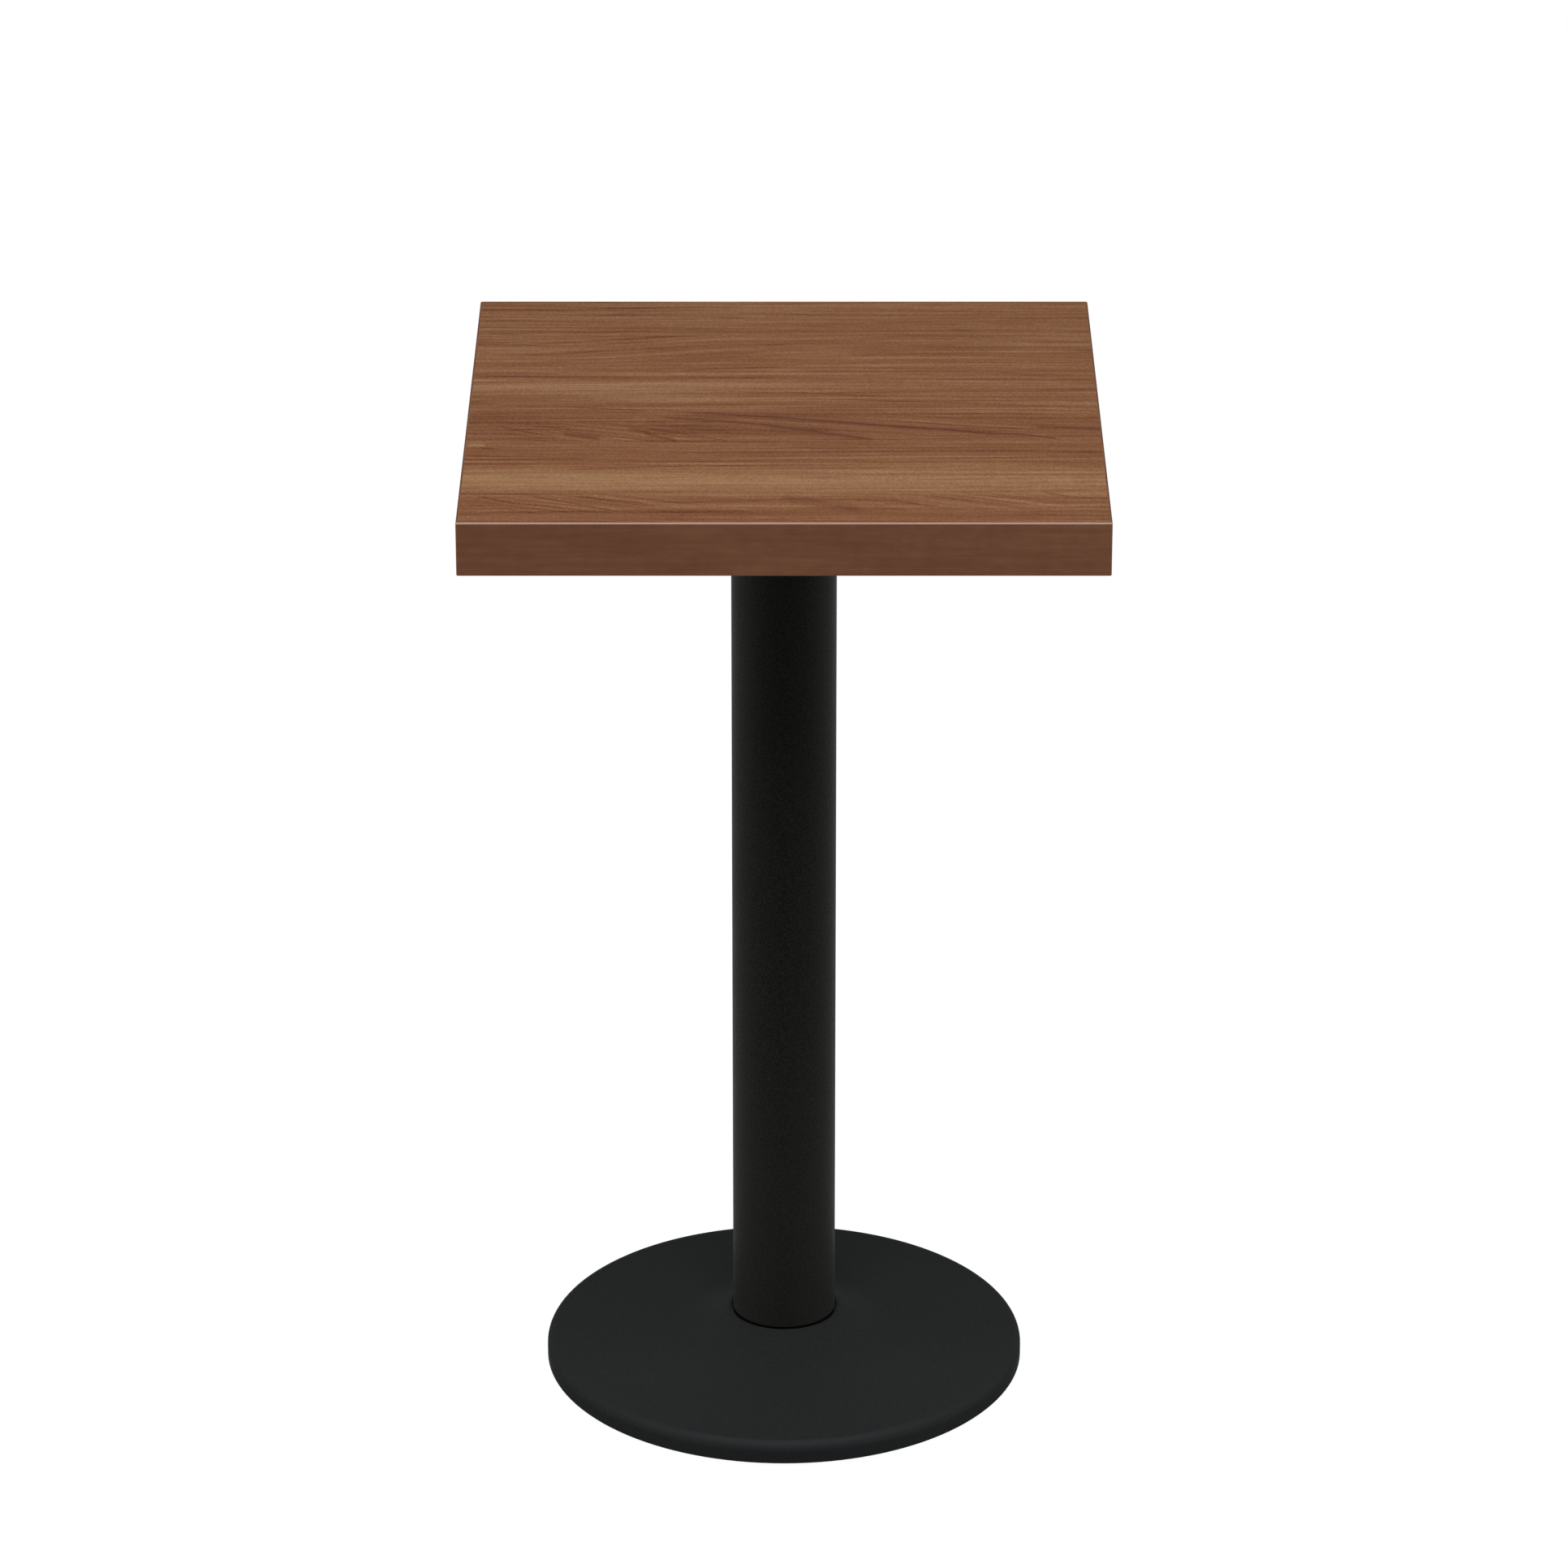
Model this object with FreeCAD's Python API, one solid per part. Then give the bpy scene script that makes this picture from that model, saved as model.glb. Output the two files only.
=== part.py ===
import FreeCAD, Part
import math
import os

# Bar table: a square laminated top on a steel column and a round cast-iron base.
# Millimetres. The origin is on the floor, on the column's axis. +Z is up, +X runs with
# the grain of the top, and the front edge is on the -Y side.

# Overall sizes
TABLE_HEIGHT = 1015.0
TOP_LENGTH = 600.0            # along X, with the grain
TOP_DEPTH = 600.0             # along Y, front to back
EDGE_HEIGHT = 52.0            # the thickness that shows round the top
COLUMN_DIAMETER = 101.6
BASE_DIAMETER = 475.0

# Top: decor sheet, core, balancing sheet, build-up strips and edging
LAMINATE_THICKNESS = 1.0
CORE_THICKNESS = 25.0
BACKER_THICKNESS = 0.8
BUILDUP_WIDTH = 70.0
BAND_THICKNESS = 2.0
BAND_ARRIS = 1.7              # rounding along the edging's top edge
BAND_FOOT_ARRIS = 0.5         # rounding along its bottom edge, which is left crisp
BAND_CORNER = 1.9             # rounding of the upright corners
ARRIS_SHARE = 0.9             # of the upright corners' rounding, the most an arris can take

# Column tube
TUBE_WALL = 2.0
TUBE_CHAMFER = 0.8            # outer edge at the foot
SPIGOT_CLEARANCE = 0.35       # radial, between a spigot ring and the tube's bore
SPIGOT_WALL = 6.0
SPIGOT_LEAD = 1.5             # chamfer that guides the tube on

# Spider: the four-arm plate between the column and the top
SPIDER_PLATE = 7.0
HUB_MARGIN = 9.2              # how far the hub plate reaches past the column
ARM_REACH = 172.0             # from the axis to the end of an arm
ARM_ROOT_WIDTH = 46.0
ARM_TIP_WIDTH = 30.0
ARM_CORNER = 9.0              # fillets where the arms meet the hub and the tip pads
TIP_PAD_WIDTH = 24.0          # along the arm
RIB_THICKNESS = 7.0
RIB_ROOT_DEPTH = 18.0
RIB_TIP_DEPTH = 3.0
RIB_COLUMN_GAP = 1.0
UPPER_SPIGOT_DEPTH = 14.0
CUP_WALL = 6.0
CUP_FLOOR = 8.0
WRENCH_ROOM = 6.0             # round the nut's corners, for a socket
NUT_HEADROOM = 1.4            # between the rod's end and the balancing sheet

# Wood screws through the spider's tips
SCREW_DIAMETER = 4.8
SCREW_SPACING = 36.0          # between the two screws of a tip
SCREW_BITE = 12.5             # length held in the core
SCREW_POINT = 5.0
SCREW_HEAD_DIAMETER = 9.6
SCREW_HEAD_HEIGHT = 3.2
SCREW_HEAD_CHAMFER = 1.6
SCREW_HOLE_CLEARANCE = 0.5    # radial, in the spider
PILOT_CLEARANCE = 0.05        # radial and past the point, in the wood

# Tie rod and its fasteners
ROD_DIAMETER = 12.0
ROD_CHAMFER = 1.0
ROD_HOLE_CLEARANCE = 0.5      # radial, in the castings and the plain washers
THREAD_CLEARANCE = 0.05       # radial, in the nuts and the lock washers
ROD_PROTRUSION = 3.0          # past each nut
NUT_ACROSS_FLATS = 19.0
NUT_HEIGHT = 10.0
LOCK_WASHER_WIDTH = 4.2
LOCK_WASHER_THICKNESS = 2.6
LOCK_WASHER_SLIT = 1.6
UPPER_WASHER_DIAMETER = 24.0
LOWER_WASHER_DIAMETER = 37.0
WASHER_THICKNESS = 2.5

# Base casting
FLOOR_GAP = 4.0               # under the rim
RIM_HEIGHT = 12.5             # the upright part of the rim
RIM_ROUND = 8.5
RIM_FOOT_CHAMFER = 1.0
RIM_WALL = 8.0
BASE_WALL = 6.0
RIM_GUSSET = 6.0              # sloping metal in the corner of the rim and the plate
TOP_SLOPE = 5.5               # degrees, of the base's upper face
FLARE_RADIUS = 120.0          # concave sweep round the column's foot
FLARE_ANGLE = 32.0            # degrees, its steepest slope
LIP_LAND = 3.0                # flat ring round the tube's seat
SEAT_GAP = 1.8                # radial, between the lip and the tube
SEAT_DEPTH = 3.0              # how far the tube stands below the lip
LOWER_SPIGOT_HEIGHT = 12.0
HUB_WEB = 16.0                # metal under the tube's seat
SKIRT_WALL = 10.0
SKIRT_MARGIN = 5.2            # how far the hub's skirt reaches past the column
SKIRT_DROP = 22.0             # below the hub web
BASE_RIB_THICKNESS = 6.0
BASE_RIB_RISE = 8.0           # from the rim's lower edge to the ribs

# Levelling feet
GLIDE_INSET = 52.5            # from the rim to a foot's axis
PAD_DIAMETER = 32.0
PAD_HEIGHT = 7.2
PAD_TOP_CHAMFER = 1.8
PAD_FOOT_CHAMFER = 1.0
BALL_DIAMETER = 6.0
BALL_HEIGHT = 4.6             # of the ball's centre over the floor
SOCKET_CLEARANCE = 0.25       # round the ball
SOCKET_MOUTH = 5.4            # narrower than the ball, so the pad snaps on
SOCKET_LEAD = 1.3             # funnel over the mouth
NECK_DIAMETER = 4.4
PAD_GAP = 0.4                 # between the pad and the hexagon
HEX_ACROSS_FLATS = 17.0
HEX_HEIGHT = 4.0
STEM_DIAMETER = 8.0
STEM_CHAMFER = 1.0
TAPPED_CLEARANCE = 0.25       # radial, in the boss
TAPPED_HEADROOM = 1.0         # over the stem's end
GLIDE_SKIN = 3.2              # metal left over the tapped hole
BOSS_MARGIN = 8.8             # metal round the tapped hole

UP = FreeCAD.Vector(0, 0, 1)
ORIGIN = FreeCAD.Vector(0, 0, 0)
DIAGONALS = (45.0, 135.0, 225.0, 315.0)

# Radii of the column and of what fits it
TUBE_OUTER = COLUMN_DIAMETER / 2
TUBE_INNER = TUBE_OUTER - TUBE_WALL
SPIGOT_OUTER = TUBE_INNER - SPIGOT_CLEARANCE
SPIGOT_INNER = SPIGOT_OUTER - SPIGOT_WALL
ROD_RADIUS = ROD_DIAMETER / 2
ROD_HOLE = ROD_RADIUS + ROD_HOLE_CLEARANCE

# Levels of the top, from the surface down
Z_CORE_TOP = TABLE_HEIGHT - LAMINATE_THICKNESS
Z_CORE_BOTTOM = Z_CORE_TOP - CORE_THICKNESS
Z_BACKER_BOTTOM = Z_CORE_BOTTOM - BACKER_THICKNESS
Z_EDGE_BOTTOM = TABLE_HEIGHT - EDGE_HEIGHT
PANEL_LENGTH = TOP_LENGTH - 2 * BAND_THICKNESS
PANEL_DEPTH = TOP_DEPTH - 2 * BAND_THICKNESS

# Levels of the spider and of the fasteners in its cup
Z_SPIDER_UNDER = Z_BACKER_BOTTOM - SPIDER_PLATE
STACK_HEIGHT = WASHER_THICKNESS + LOCK_WASHER_THICKNESS + NUT_HEIGHT
Z_ROD_TOP = Z_BACKER_BOTTOM - NUT_HEADROOM
Z_CUP_FLOOR = Z_ROD_TOP - ROD_PROTRUSION - STACK_HEIGHT
NUT_CORNER = NUT_ACROSS_FLATS / math.sqrt(3)
CUP_INNER = NUT_CORNER + WRENCH_ROOM
CUP_OUTER = CUP_INNER + CUP_WALL

# Outer face of the base: rim, slope and flare
BASE_RADIUS = BASE_DIAMETER / 2
SLOPE = math.radians(TOP_SLOPE)
STEEP = math.radians(FLARE_ANGLE)
Z_RIM_TOP = FLOOR_GAP + RIM_HEIGHT
SLOPE_R = BASE_RADIUS - RIM_ROUND * (1 - math.sin(SLOPE))
SLOPE_Z = Z_RIM_TOP + RIM_ROUND * math.cos(SLOPE)
SEAT_WALL = TUBE_OUTER + SEAT_GAP
FLARE_CENTRE_R = SEAT_WALL + LIP_LAND + FLARE_RADIUS * math.sin(STEEP)
FLARE_FOOT_R = FLARE_CENTRE_R - FLARE_RADIUS * math.sin(SLOPE)


def base_face_height(radius):
    """Height of the base's sloping upper face at a distance from the axis."""
    return SLOPE_Z + (SLOPE_R - radius) * math.tan(SLOPE)


def base_under_height(radius):
    """Height of the underside, one wall below the sloping face."""
    return base_face_height(radius) - BASE_WALL / math.cos(SLOPE)


FLARE_CENTRE_Z = base_face_height(FLARE_FOOT_R) + FLARE_RADIUS * math.cos(SLOPE)
Z_LIP = FLARE_CENTRE_Z - FLARE_RADIUS * math.cos(STEEP)
Z_SEAT = Z_LIP - SEAT_DEPTH
Z_WEB_UNDER = Z_SEAT - HUB_WEB
Z_ROD_BOTTOM = Z_WEB_UNDER - STACK_HEIGHT - ROD_PROTRUSION

# Levelling feet
GLIDE_RADIUS = BASE_RADIUS - GLIDE_INSET
STEM_RADIUS = STEM_DIAMETER / 2
TAPPED_RADIUS = STEM_RADIUS + TAPPED_CLEARANCE
BOSS_RADIUS = TAPPED_RADIUS + BOSS_MARGIN
Z_HEX_UNDER = PAD_HEIGHT + PAD_GAP
Z_BOSS_FACE = Z_HEX_UNDER + HEX_HEIGHT
Z_TAPPED_END = base_face_height(GLIDE_RADIUS + TAPPED_RADIUS) - GLIDE_SKIN
Z_STEM_END = Z_TAPPED_END - TAPPED_HEADROOM


# Shared shapes

def point(radius, height):
    """Point of a turned outline, in the XZ plane."""
    return FreeCAD.Vector(radius, 0, height)


def arc(centre_r, centre_z, radius, start, end):
    """Three points of an arc in the XZ plane, between two angles in degrees."""
    angles = [math.radians(angle) for angle in (start, (start + end) / 2, end)]
    return [point(centre_r + radius * math.cos(a), centre_z + radius * math.sin(a)) for a in angles]


def outline_face(items):
    """Face inside an outline of points and three-point arcs, joined by straight lines."""
    runs = [item if isinstance(item, list) else [item] for item in items]
    edges = []
    for run, following in zip(runs, runs[1:] + runs[:1]):
        if len(run) == 3:
            edges.append(Part.Arc(*run).toShape())
        if run[-1].distanceToPoint(following[0]) > 1e-6:
            edges.append(Part.makeLine(run[-1], following[0]))
    return Part.Face(Part.Wire(edges))


def turned(items):
    """Solid turned about the Z axis from an outline in the XZ plane."""
    return outline_face(items).revolve(ORIGIN, UP, 360)


def block(x_range, y_range, z_range):
    """Box between two values on each axis."""
    low, high = zip(x_range, y_range, z_range)
    sides = [b - a for a, b in zip(low, high)]
    return Part.makeBox(*sides, FreeCAD.Vector(*low))


def centred(size):
    """Range of a size that straddles zero."""
    return (-size / 2, size / 2)


def post(radius, low, high):
    """Upright cylinder on the Z axis."""
    return Part.makeCylinder(radius, high - low, point(0, low))


def ring(inner, outer, low, high):
    """Flat ring on the Z axis."""
    return turned([point(inner, low), point(outer, low), point(outer, high), point(inner, high)])


def hexagon(across_flats, low, high):
    """Hexagonal prism with its corners rounded off as on a nut."""
    corner = across_flats / math.sqrt(3)
    corners = [FreeCAD.Vector(corner, 0, low)]
    for step in range(1, 6):
        corners.append(turn(Part.Vertex(corners[0]), 60 * step).Point)
    prism = Part.Face(Part.makePolygon(corners + corners[:1])).extrude(UP * (high - low))
    flat = across_flats / 2
    bevel = (corner - flat) * math.tan(math.radians(30))
    envelope = turned([point(0, low), point(flat, low), point(corner, low + bevel),
                       point(corner, high - bevel), point(flat, high), point(0, high)])
    return prism.common(envelope)


def turn(shape, angle):
    """Copy of a shape, turned about the Z axis."""
    copy = shape.copy()
    copy.rotate(ORIGIN, UP, angle)
    return copy


def moved(shape, x, y):
    """Copy of a shape, moved sideways."""
    copy = shape.copy()
    copy.translate(FreeCAD.Vector(x, y, 0))
    return copy


def fused(shapes):
    """One solid from shapes that overlap or touch, without leftover seams."""
    return shapes[0].multiFuse(shapes[1:]).removeSplitter().Solids[0]


def upright_edges(shape):
    """Straight edges of a shape that run along Z."""
    return [e for e in shape.Edges if isinstance(e.Curve, Part.Line) and abs(e.Curve.Direction.z) > 0.999]


def sharp_upright_edges(shape):
    """Upright edges where two faces meet at an angle."""
    sharp = []
    for edge in upright_edges(shape):
        middle = edge.CenterOfMass
        faces = [f for f in shape.Faces if any(e.isSame(edge) for e in f.Edges)]
        normals = [f.normalAt(*f.Surface.parameter(middle)) for f in faces]
        if len(normals) == 2 and normals[0].dot(normals[1]) < 0.98:
            sharp.append(edge)
    return sharp


# Top

def screw_places():
    """X and Y of the wood screws, two on each arm of the spider."""
    along = ARM_REACH - TIP_PAD_WIDTH / 2
    places = []
    for angle in DIAGONALS:
        for side in (-1, 1):
            spot = turn(Part.Vertex(along, side * SCREW_SPACING / 2, 0), angle).Point
            places.append((spot.x, spot.y))
    return places


def drilled(panel, bottom, top):
    """Panel with the screws' pilot holes between two heights."""
    pilot = post(SCREW_DIAMETER / 2 + PILOT_CLEARANCE, bottom, top)
    return panel.cut([moved(pilot, x, y) for x, y in screw_places()])


def top_sheet(low, high):
    """Sheet of the panel's outline between two heights."""
    return block(centred(PANEL_LENGTH), centred(PANEL_DEPTH), (low, high))


def laminate_face():
    """Walnut decor sheet on the upper face."""
    return top_sheet(Z_CORE_TOP, TABLE_HEIGHT)


def core_panel():
    """Particle-board core, with blind pilot holes for the screws."""
    sheet = top_sheet(Z_CORE_BOTTOM, Z_CORE_TOP)
    return drilled(sheet, Z_CORE_BOTTOM, Z_CORE_BOTTOM + SCREW_BITE + PILOT_CLEARANCE)


def backer_sheet():
    """Balancing sheet under the core, drilled through."""
    return drilled(top_sheet(Z_BACKER_BOTTOM, Z_CORE_BOTTOM), Z_BACKER_BOTTOM, Z_CORE_BOTTOM)


def buildup_strips():
    """Four strips that thicken the panel to the height of its edge."""
    levels = (Z_EDGE_BOTTOM, Z_BACKER_BOTTOM)
    outer_y = PANEL_DEPTH / 2
    outer_x = PANEL_LENGTH / 2
    inner_y = outer_y - BUILDUP_WIDTH
    inner_x = outer_x - BUILDUP_WIDTH
    return {
        "buildup_strip_front": block(centred(PANEL_LENGTH), (-outer_y, -inner_y), levels),
        "buildup_strip_back": block(centred(PANEL_LENGTH), (inner_y, outer_y), levels),
        "buildup_strip_left": block((-outer_x, -inner_x), centred(2 * inner_y), levels),
        "buildup_strip_right": block((inner_x, outer_x), centred(2 * inner_y), levels),
    }


def edge_bands():
    """Edging with rounded arrises; front and back lap the ends of the sides."""
    levels = (Z_EDGE_BOTTOM, TABLE_HEIGHT)
    slab = block(centred(TOP_LENGTH), centred(TOP_DEPTH), levels)
    slab = slab.makeFillet(BAND_CORNER, upright_edges(slab))
    for facing, arris in ((1, BAND_ARRIS), (-1, BAND_FOOT_ARRIS)):
        rims = [f for f in slab.Faces if facing * f.normalAt(0, 0).z > 0.999]
        slab = slab.makeFillet(min(arris, ARRIS_SHARE * BAND_CORNER), rims[0].Edges)
    edging = slab.cut(top_sheet(*levels))
    outer_x = TOP_LENGTH / 2
    outer_y = TOP_DEPTH / 2
    inner_x = PANEL_LENGTH / 2
    inner_y = PANEL_DEPTH / 2
    return {
        "edge_band_front": edging.common(block(centred(TOP_LENGTH), (-outer_y, -inner_y), levels)),
        "edge_band_back": edging.common(block(centred(TOP_LENGTH), (inner_y, outer_y), levels)),
        "edge_band_left": edging.common(block((-outer_x, -inner_x), centred(PANEL_DEPTH), levels)),
        "edge_band_right": edging.common(block((inner_x, outer_x), centred(PANEL_DEPTH), levels)),
    }


# Spider

def spider_arm():
    """One arm along +X: a tapered flange that ends in a cross-wise pad."""
    pad_x = ARM_REACH - TIP_PAD_WIDTH / 2
    root = ARM_ROOT_WIDTH / 2
    tip = ARM_TIP_WIDTH / 2
    corners = [FreeCAD.Vector(x, y, Z_SPIDER_UNDER)
               for x, y in ((0, -root), (pad_x, -tip), (pad_x, tip), (0, root))]
    flange = Part.Face(Part.makePolygon(corners + corners[:1])).extrude(UP * SPIDER_PLATE)
    pad = block((pad_x - TIP_PAD_WIDTH / 2, ARM_REACH), centred(SCREW_SPACING),
                (Z_SPIDER_UNDER, Z_BACKER_BOTTOM))
    pad_end = post(TIP_PAD_WIDTH / 2, Z_SPIDER_UNDER, Z_BACKER_BOTTOM)
    ends = [moved(pad_end, pad_x, side * SCREW_SPACING / 2) for side in (-1, 1)]
    return fused([flange, pad] + ends)


def spider_rib():
    """Rib under one arm, deep at the column and shallow at the tip."""
    start = TUBE_OUTER + RIB_COLUMN_GAP
    end = ARM_REACH - TIP_PAD_WIDTH
    middle = (Z_SPIDER_UNDER + Z_BACKER_BOTTOM) / 2
    side = outline_face([point(start, Z_SPIDER_UNDER - RIB_ROOT_DEPTH),
                         point(end, Z_SPIDER_UNDER - RIB_TIP_DEPTH),
                         point(end, middle), point(start, middle)])
    rib = side.extrude(FreeCAD.Vector(0, RIB_THICKNESS, 0))
    return moved(rib, 0, -RIB_THICKNESS / 2)


def spider_plate():
    """Cast plate with four ribbed arms, a spigot for the tube and a cup for the upper nut."""
    arm = spider_arm()
    hub = post(TUBE_OUTER + HUB_MARGIN, Z_SPIDER_UNDER, Z_BACKER_BOTTOM)
    plate = fused([hub] + [turn(arm, angle) for angle in DIAGONALS])
    plate = plate.makeFillet(ARM_CORNER, sharp_upright_edges(plate))
    spigot_foot = Z_SPIDER_UNDER - UPPER_SPIGOT_DEPTH
    middle = (Z_SPIDER_UNDER + Z_BACKER_BOTTOM) / 2
    spigot = turned([point(SPIGOT_INNER, spigot_foot),
                     point(SPIGOT_OUTER - SPIGOT_LEAD, spigot_foot),
                     point(SPIGOT_OUTER, spigot_foot + SPIGOT_LEAD),
                     point(SPIGOT_OUTER, middle), point(SPIGOT_INNER, middle)])
    cup = post(CUP_OUTER, Z_CUP_FLOOR - CUP_FLOOR, middle)
    body = fused([plate, spigot, cup] + [turn(spider_rib(), angle) for angle in DIAGONALS])
    screw_hole = post(SCREW_DIAMETER / 2 + SCREW_HOLE_CLEARANCE, Z_SPIDER_UNDER, Z_BACKER_BOTTOM)
    holes = [moved(screw_hole, x, y) for x, y in screw_places()]
    holes.append(post(CUP_INNER, Z_CUP_FLOOR, Z_BACKER_BOTTOM))
    holes.append(post(ROD_HOLE, Z_CUP_FLOOR - CUP_FLOOR, Z_CUP_FLOOR))
    return body.cut(holes)


def spider_screws():
    """Eight pan-head wood screws, heads down, driven up into the core."""
    head = SCREW_HEAD_DIAMETER / 2
    shank = SCREW_DIAMETER / 2
    z_end = Z_CORE_BOTTOM + SCREW_BITE
    z_head = Z_SPIDER_UNDER - SCREW_HEAD_HEIGHT
    screw = turned([point(0, z_head), point(head - SCREW_HEAD_CHAMFER, z_head),
                    point(head, z_head + SCREW_HEAD_CHAMFER),
                    point(head, Z_SPIDER_UNDER), point(shank, Z_SPIDER_UNDER),
                    point(shank, z_end - SCREW_POINT), point(0, z_end)])
    return Part.makeCompound([moved(screw, x, y) for x, y in screw_places()])


# Column, tie rod and fasteners

def column_tube():
    """Round steel tube between the base's seat and the spider's hub."""
    return turned([point(TUBE_INNER, Z_SEAT), point(TUBE_OUTER - TUBE_CHAMFER, Z_SEAT),
                   point(TUBE_OUTER, Z_SEAT + TUBE_CHAMFER), point(TUBE_OUTER, Z_SPIDER_UNDER),
                   point(TUBE_INNER, Z_SPIDER_UNDER)])


def tie_rod():
    """Rod that clamps the spider, the column and the base together."""
    end = ROD_RADIUS - ROD_CHAMFER
    return turned([point(0, Z_ROD_BOTTOM), point(end, Z_ROD_BOTTOM),
                   point(ROD_RADIUS, Z_ROD_BOTTOM + ROD_CHAMFER),
                   point(ROD_RADIUS, Z_ROD_TOP - ROD_CHAMFER),
                   point(end, Z_ROD_TOP), point(0, Z_ROD_TOP)])


def lock_washer(low):
    """Split spring washer, pressed flat."""
    inner = ROD_RADIUS + THREAD_CLEARANCE
    whole = ring(inner, inner + LOCK_WASHER_WIDTH, low, low + LOCK_WASHER_THICKNESS)
    slit = block((0, inner + LOCK_WASHER_WIDTH), centred(LOCK_WASHER_SLIT),
                 (low, low + LOCK_WASHER_THICKNESS))
    return whole.cut(slit)


def nut(low):
    """Hexagon nut on the rod."""
    return hexagon(NUT_ACROSS_FLATS, low, low + NUT_HEIGHT).cut(
        post(ROD_RADIUS + THREAD_CLEARANCE, low, low + NUT_HEIGHT))


def rod_fasteners():
    """Plain washer, lock washer and nut at each end of the rod."""
    z_washer = Z_WEB_UNDER - WASHER_THICKNESS
    z_lock = z_washer - LOCK_WASHER_THICKNESS
    above = Z_CUP_FLOOR + WASHER_THICKNESS
    return {
        "upper_washer": ring(ROD_HOLE, UPPER_WASHER_DIAMETER / 2, Z_CUP_FLOOR, above),
        "upper_lock_washer": lock_washer(above),
        "upper_nut": nut(above + LOCK_WASHER_THICKNESS),
        "lower_washer": ring(ROD_HOLE, LOWER_WASHER_DIAMETER / 2, z_washer, Z_WEB_UNDER),
        "lower_lock_washer": lock_washer(z_lock),
        "lower_nut": nut(z_lock - NUT_HEIGHT),
    }


# Base

def base_shell():
    """Turned body of the base: rim, sloping plate, flare, seat, spigot and hub."""
    skirt_outer = TUBE_OUTER + SKIRT_MARGIN
    skirt_inner = skirt_outer - SKIRT_WALL
    skirt_foot = Z_WEB_UNDER - SKIRT_DROP
    z_spigot = Z_SEAT + LOWER_SPIGOT_HEIGHT
    rim_inner = BASE_RADIUS - RIM_WALL
    gusset_r = rim_inner - RIM_GUSSET
    return turned([
        point(ROD_HOLE, Z_SEAT), point(SPIGOT_INNER, Z_SEAT), point(SPIGOT_INNER, z_spigot),
        point(SPIGOT_OUTER - SPIGOT_LEAD, z_spigot), point(SPIGOT_OUTER, z_spigot - SPIGOT_LEAD),
        point(SPIGOT_OUTER, Z_SEAT), point(SEAT_WALL, Z_SEAT),
        point(SEAT_WALL, Z_LIP),
        arc(FLARE_CENTRE_R, FLARE_CENTRE_Z, FLARE_RADIUS, 270 - FLARE_ANGLE, 270 - TOP_SLOPE),
        arc(BASE_RADIUS - RIM_ROUND, Z_RIM_TOP, RIM_ROUND, 90 - TOP_SLOPE, 0),
        point(BASE_RADIUS, FLOOR_GAP + RIM_FOOT_CHAMFER),
        point(BASE_RADIUS - RIM_FOOT_CHAMFER, FLOOR_GAP), point(rim_inner, FLOOR_GAP),
        point(rim_inner, base_under_height(rim_inner) - RIM_GUSSET),
        point(gusset_r, base_under_height(gusset_r)),
        point(skirt_outer, base_under_height(skirt_outer)),
        point(skirt_outer, skirt_foot), point(skirt_inner, skirt_foot),
        point(skirt_inner, Z_WEB_UNDER), point(ROD_HOLE, Z_WEB_UNDER),
    ])


def base_rib():
    """Rib along +X under the plate, from the hub's skirt to the rim."""
    start = TUBE_OUTER + SKIRT_MARGIN - SKIRT_WALL / 2
    end = BASE_RADIUS - RIM_WALL / 2
    foot = FLOOR_GAP + BASE_RIB_RISE
    side = outline_face([point(start, foot), point(end, foot),
                         point(end, base_under_height(end) + BASE_WALL / 2),
                         point(start, base_under_height(start) + BASE_WALL / 2)])
    rib = side.extrude(FreeCAD.Vector(0, BASE_RIB_THICKNESS, 0))
    return moved(rib, 0, -BASE_RIB_THICKNESS / 2)


def base_casting():
    """Round cast-iron base with four ribs and a tapped boss for each levelling foot."""
    boss = post(BOSS_RADIUS, Z_BOSS_FACE, base_under_height(GLIDE_RADIUS + BOSS_RADIUS) + BASE_WALL / 2)
    web = (base_rib(), moved(boss, GLIDE_RADIUS, 0))
    body = fused([base_shell()] + [turn(shape, angle) for angle in DIAGONALS for shape in web])
    tapped = moved(post(TAPPED_RADIUS, Z_BOSS_FACE, Z_TAPPED_END), GLIDE_RADIUS, 0)
    return body.cut([turn(tapped, angle) for angle in DIAGONALS])


# Levelling feet

def glide_stem():
    """Levelling screw on the Z axis: ball, neck, hexagon and threaded shank."""
    ball = BALL_DIAMETER / 2
    neck = NECK_DIAMETER / 2
    neck_angle = math.degrees(math.acos(neck / ball))
    spindle = turned([arc(0, BALL_HEIGHT, ball, -90, neck_angle),
                      point(neck, Z_HEX_UNDER), point(STEM_RADIUS, Z_HEX_UNDER),
                      point(STEM_RADIUS, Z_STEM_END - STEM_CHAMFER),
                      point(STEM_RADIUS - STEM_CHAMFER, Z_STEM_END), point(0, Z_STEM_END)])
    return fused([spindle, hexagon(HEX_ACROSS_FLATS, Z_HEX_UNDER, Z_BOSS_FACE)])


def glide_pad():
    """Nylon foot on the Z axis, with a socket that snaps over the stem's ball."""
    outer = PAD_DIAMETER / 2
    socket = BALL_DIAMETER / 2 + SOCKET_CLEARANCE
    mouth = SOCKET_MOUTH / 2
    mouth_angle = math.degrees(math.acos(mouth / socket))
    return turned([point(0, 0), point(outer - PAD_FOOT_CHAMFER, 0), point(outer, PAD_FOOT_CHAMFER),
                   point(outer, PAD_HEIGHT - PAD_TOP_CHAMFER),
                   point(outer - PAD_TOP_CHAMFER, PAD_HEIGHT), point(mouth + SOCKET_LEAD, PAD_HEIGHT),
                   arc(0, BALL_HEIGHT, socket, mouth_angle, -90)])


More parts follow.
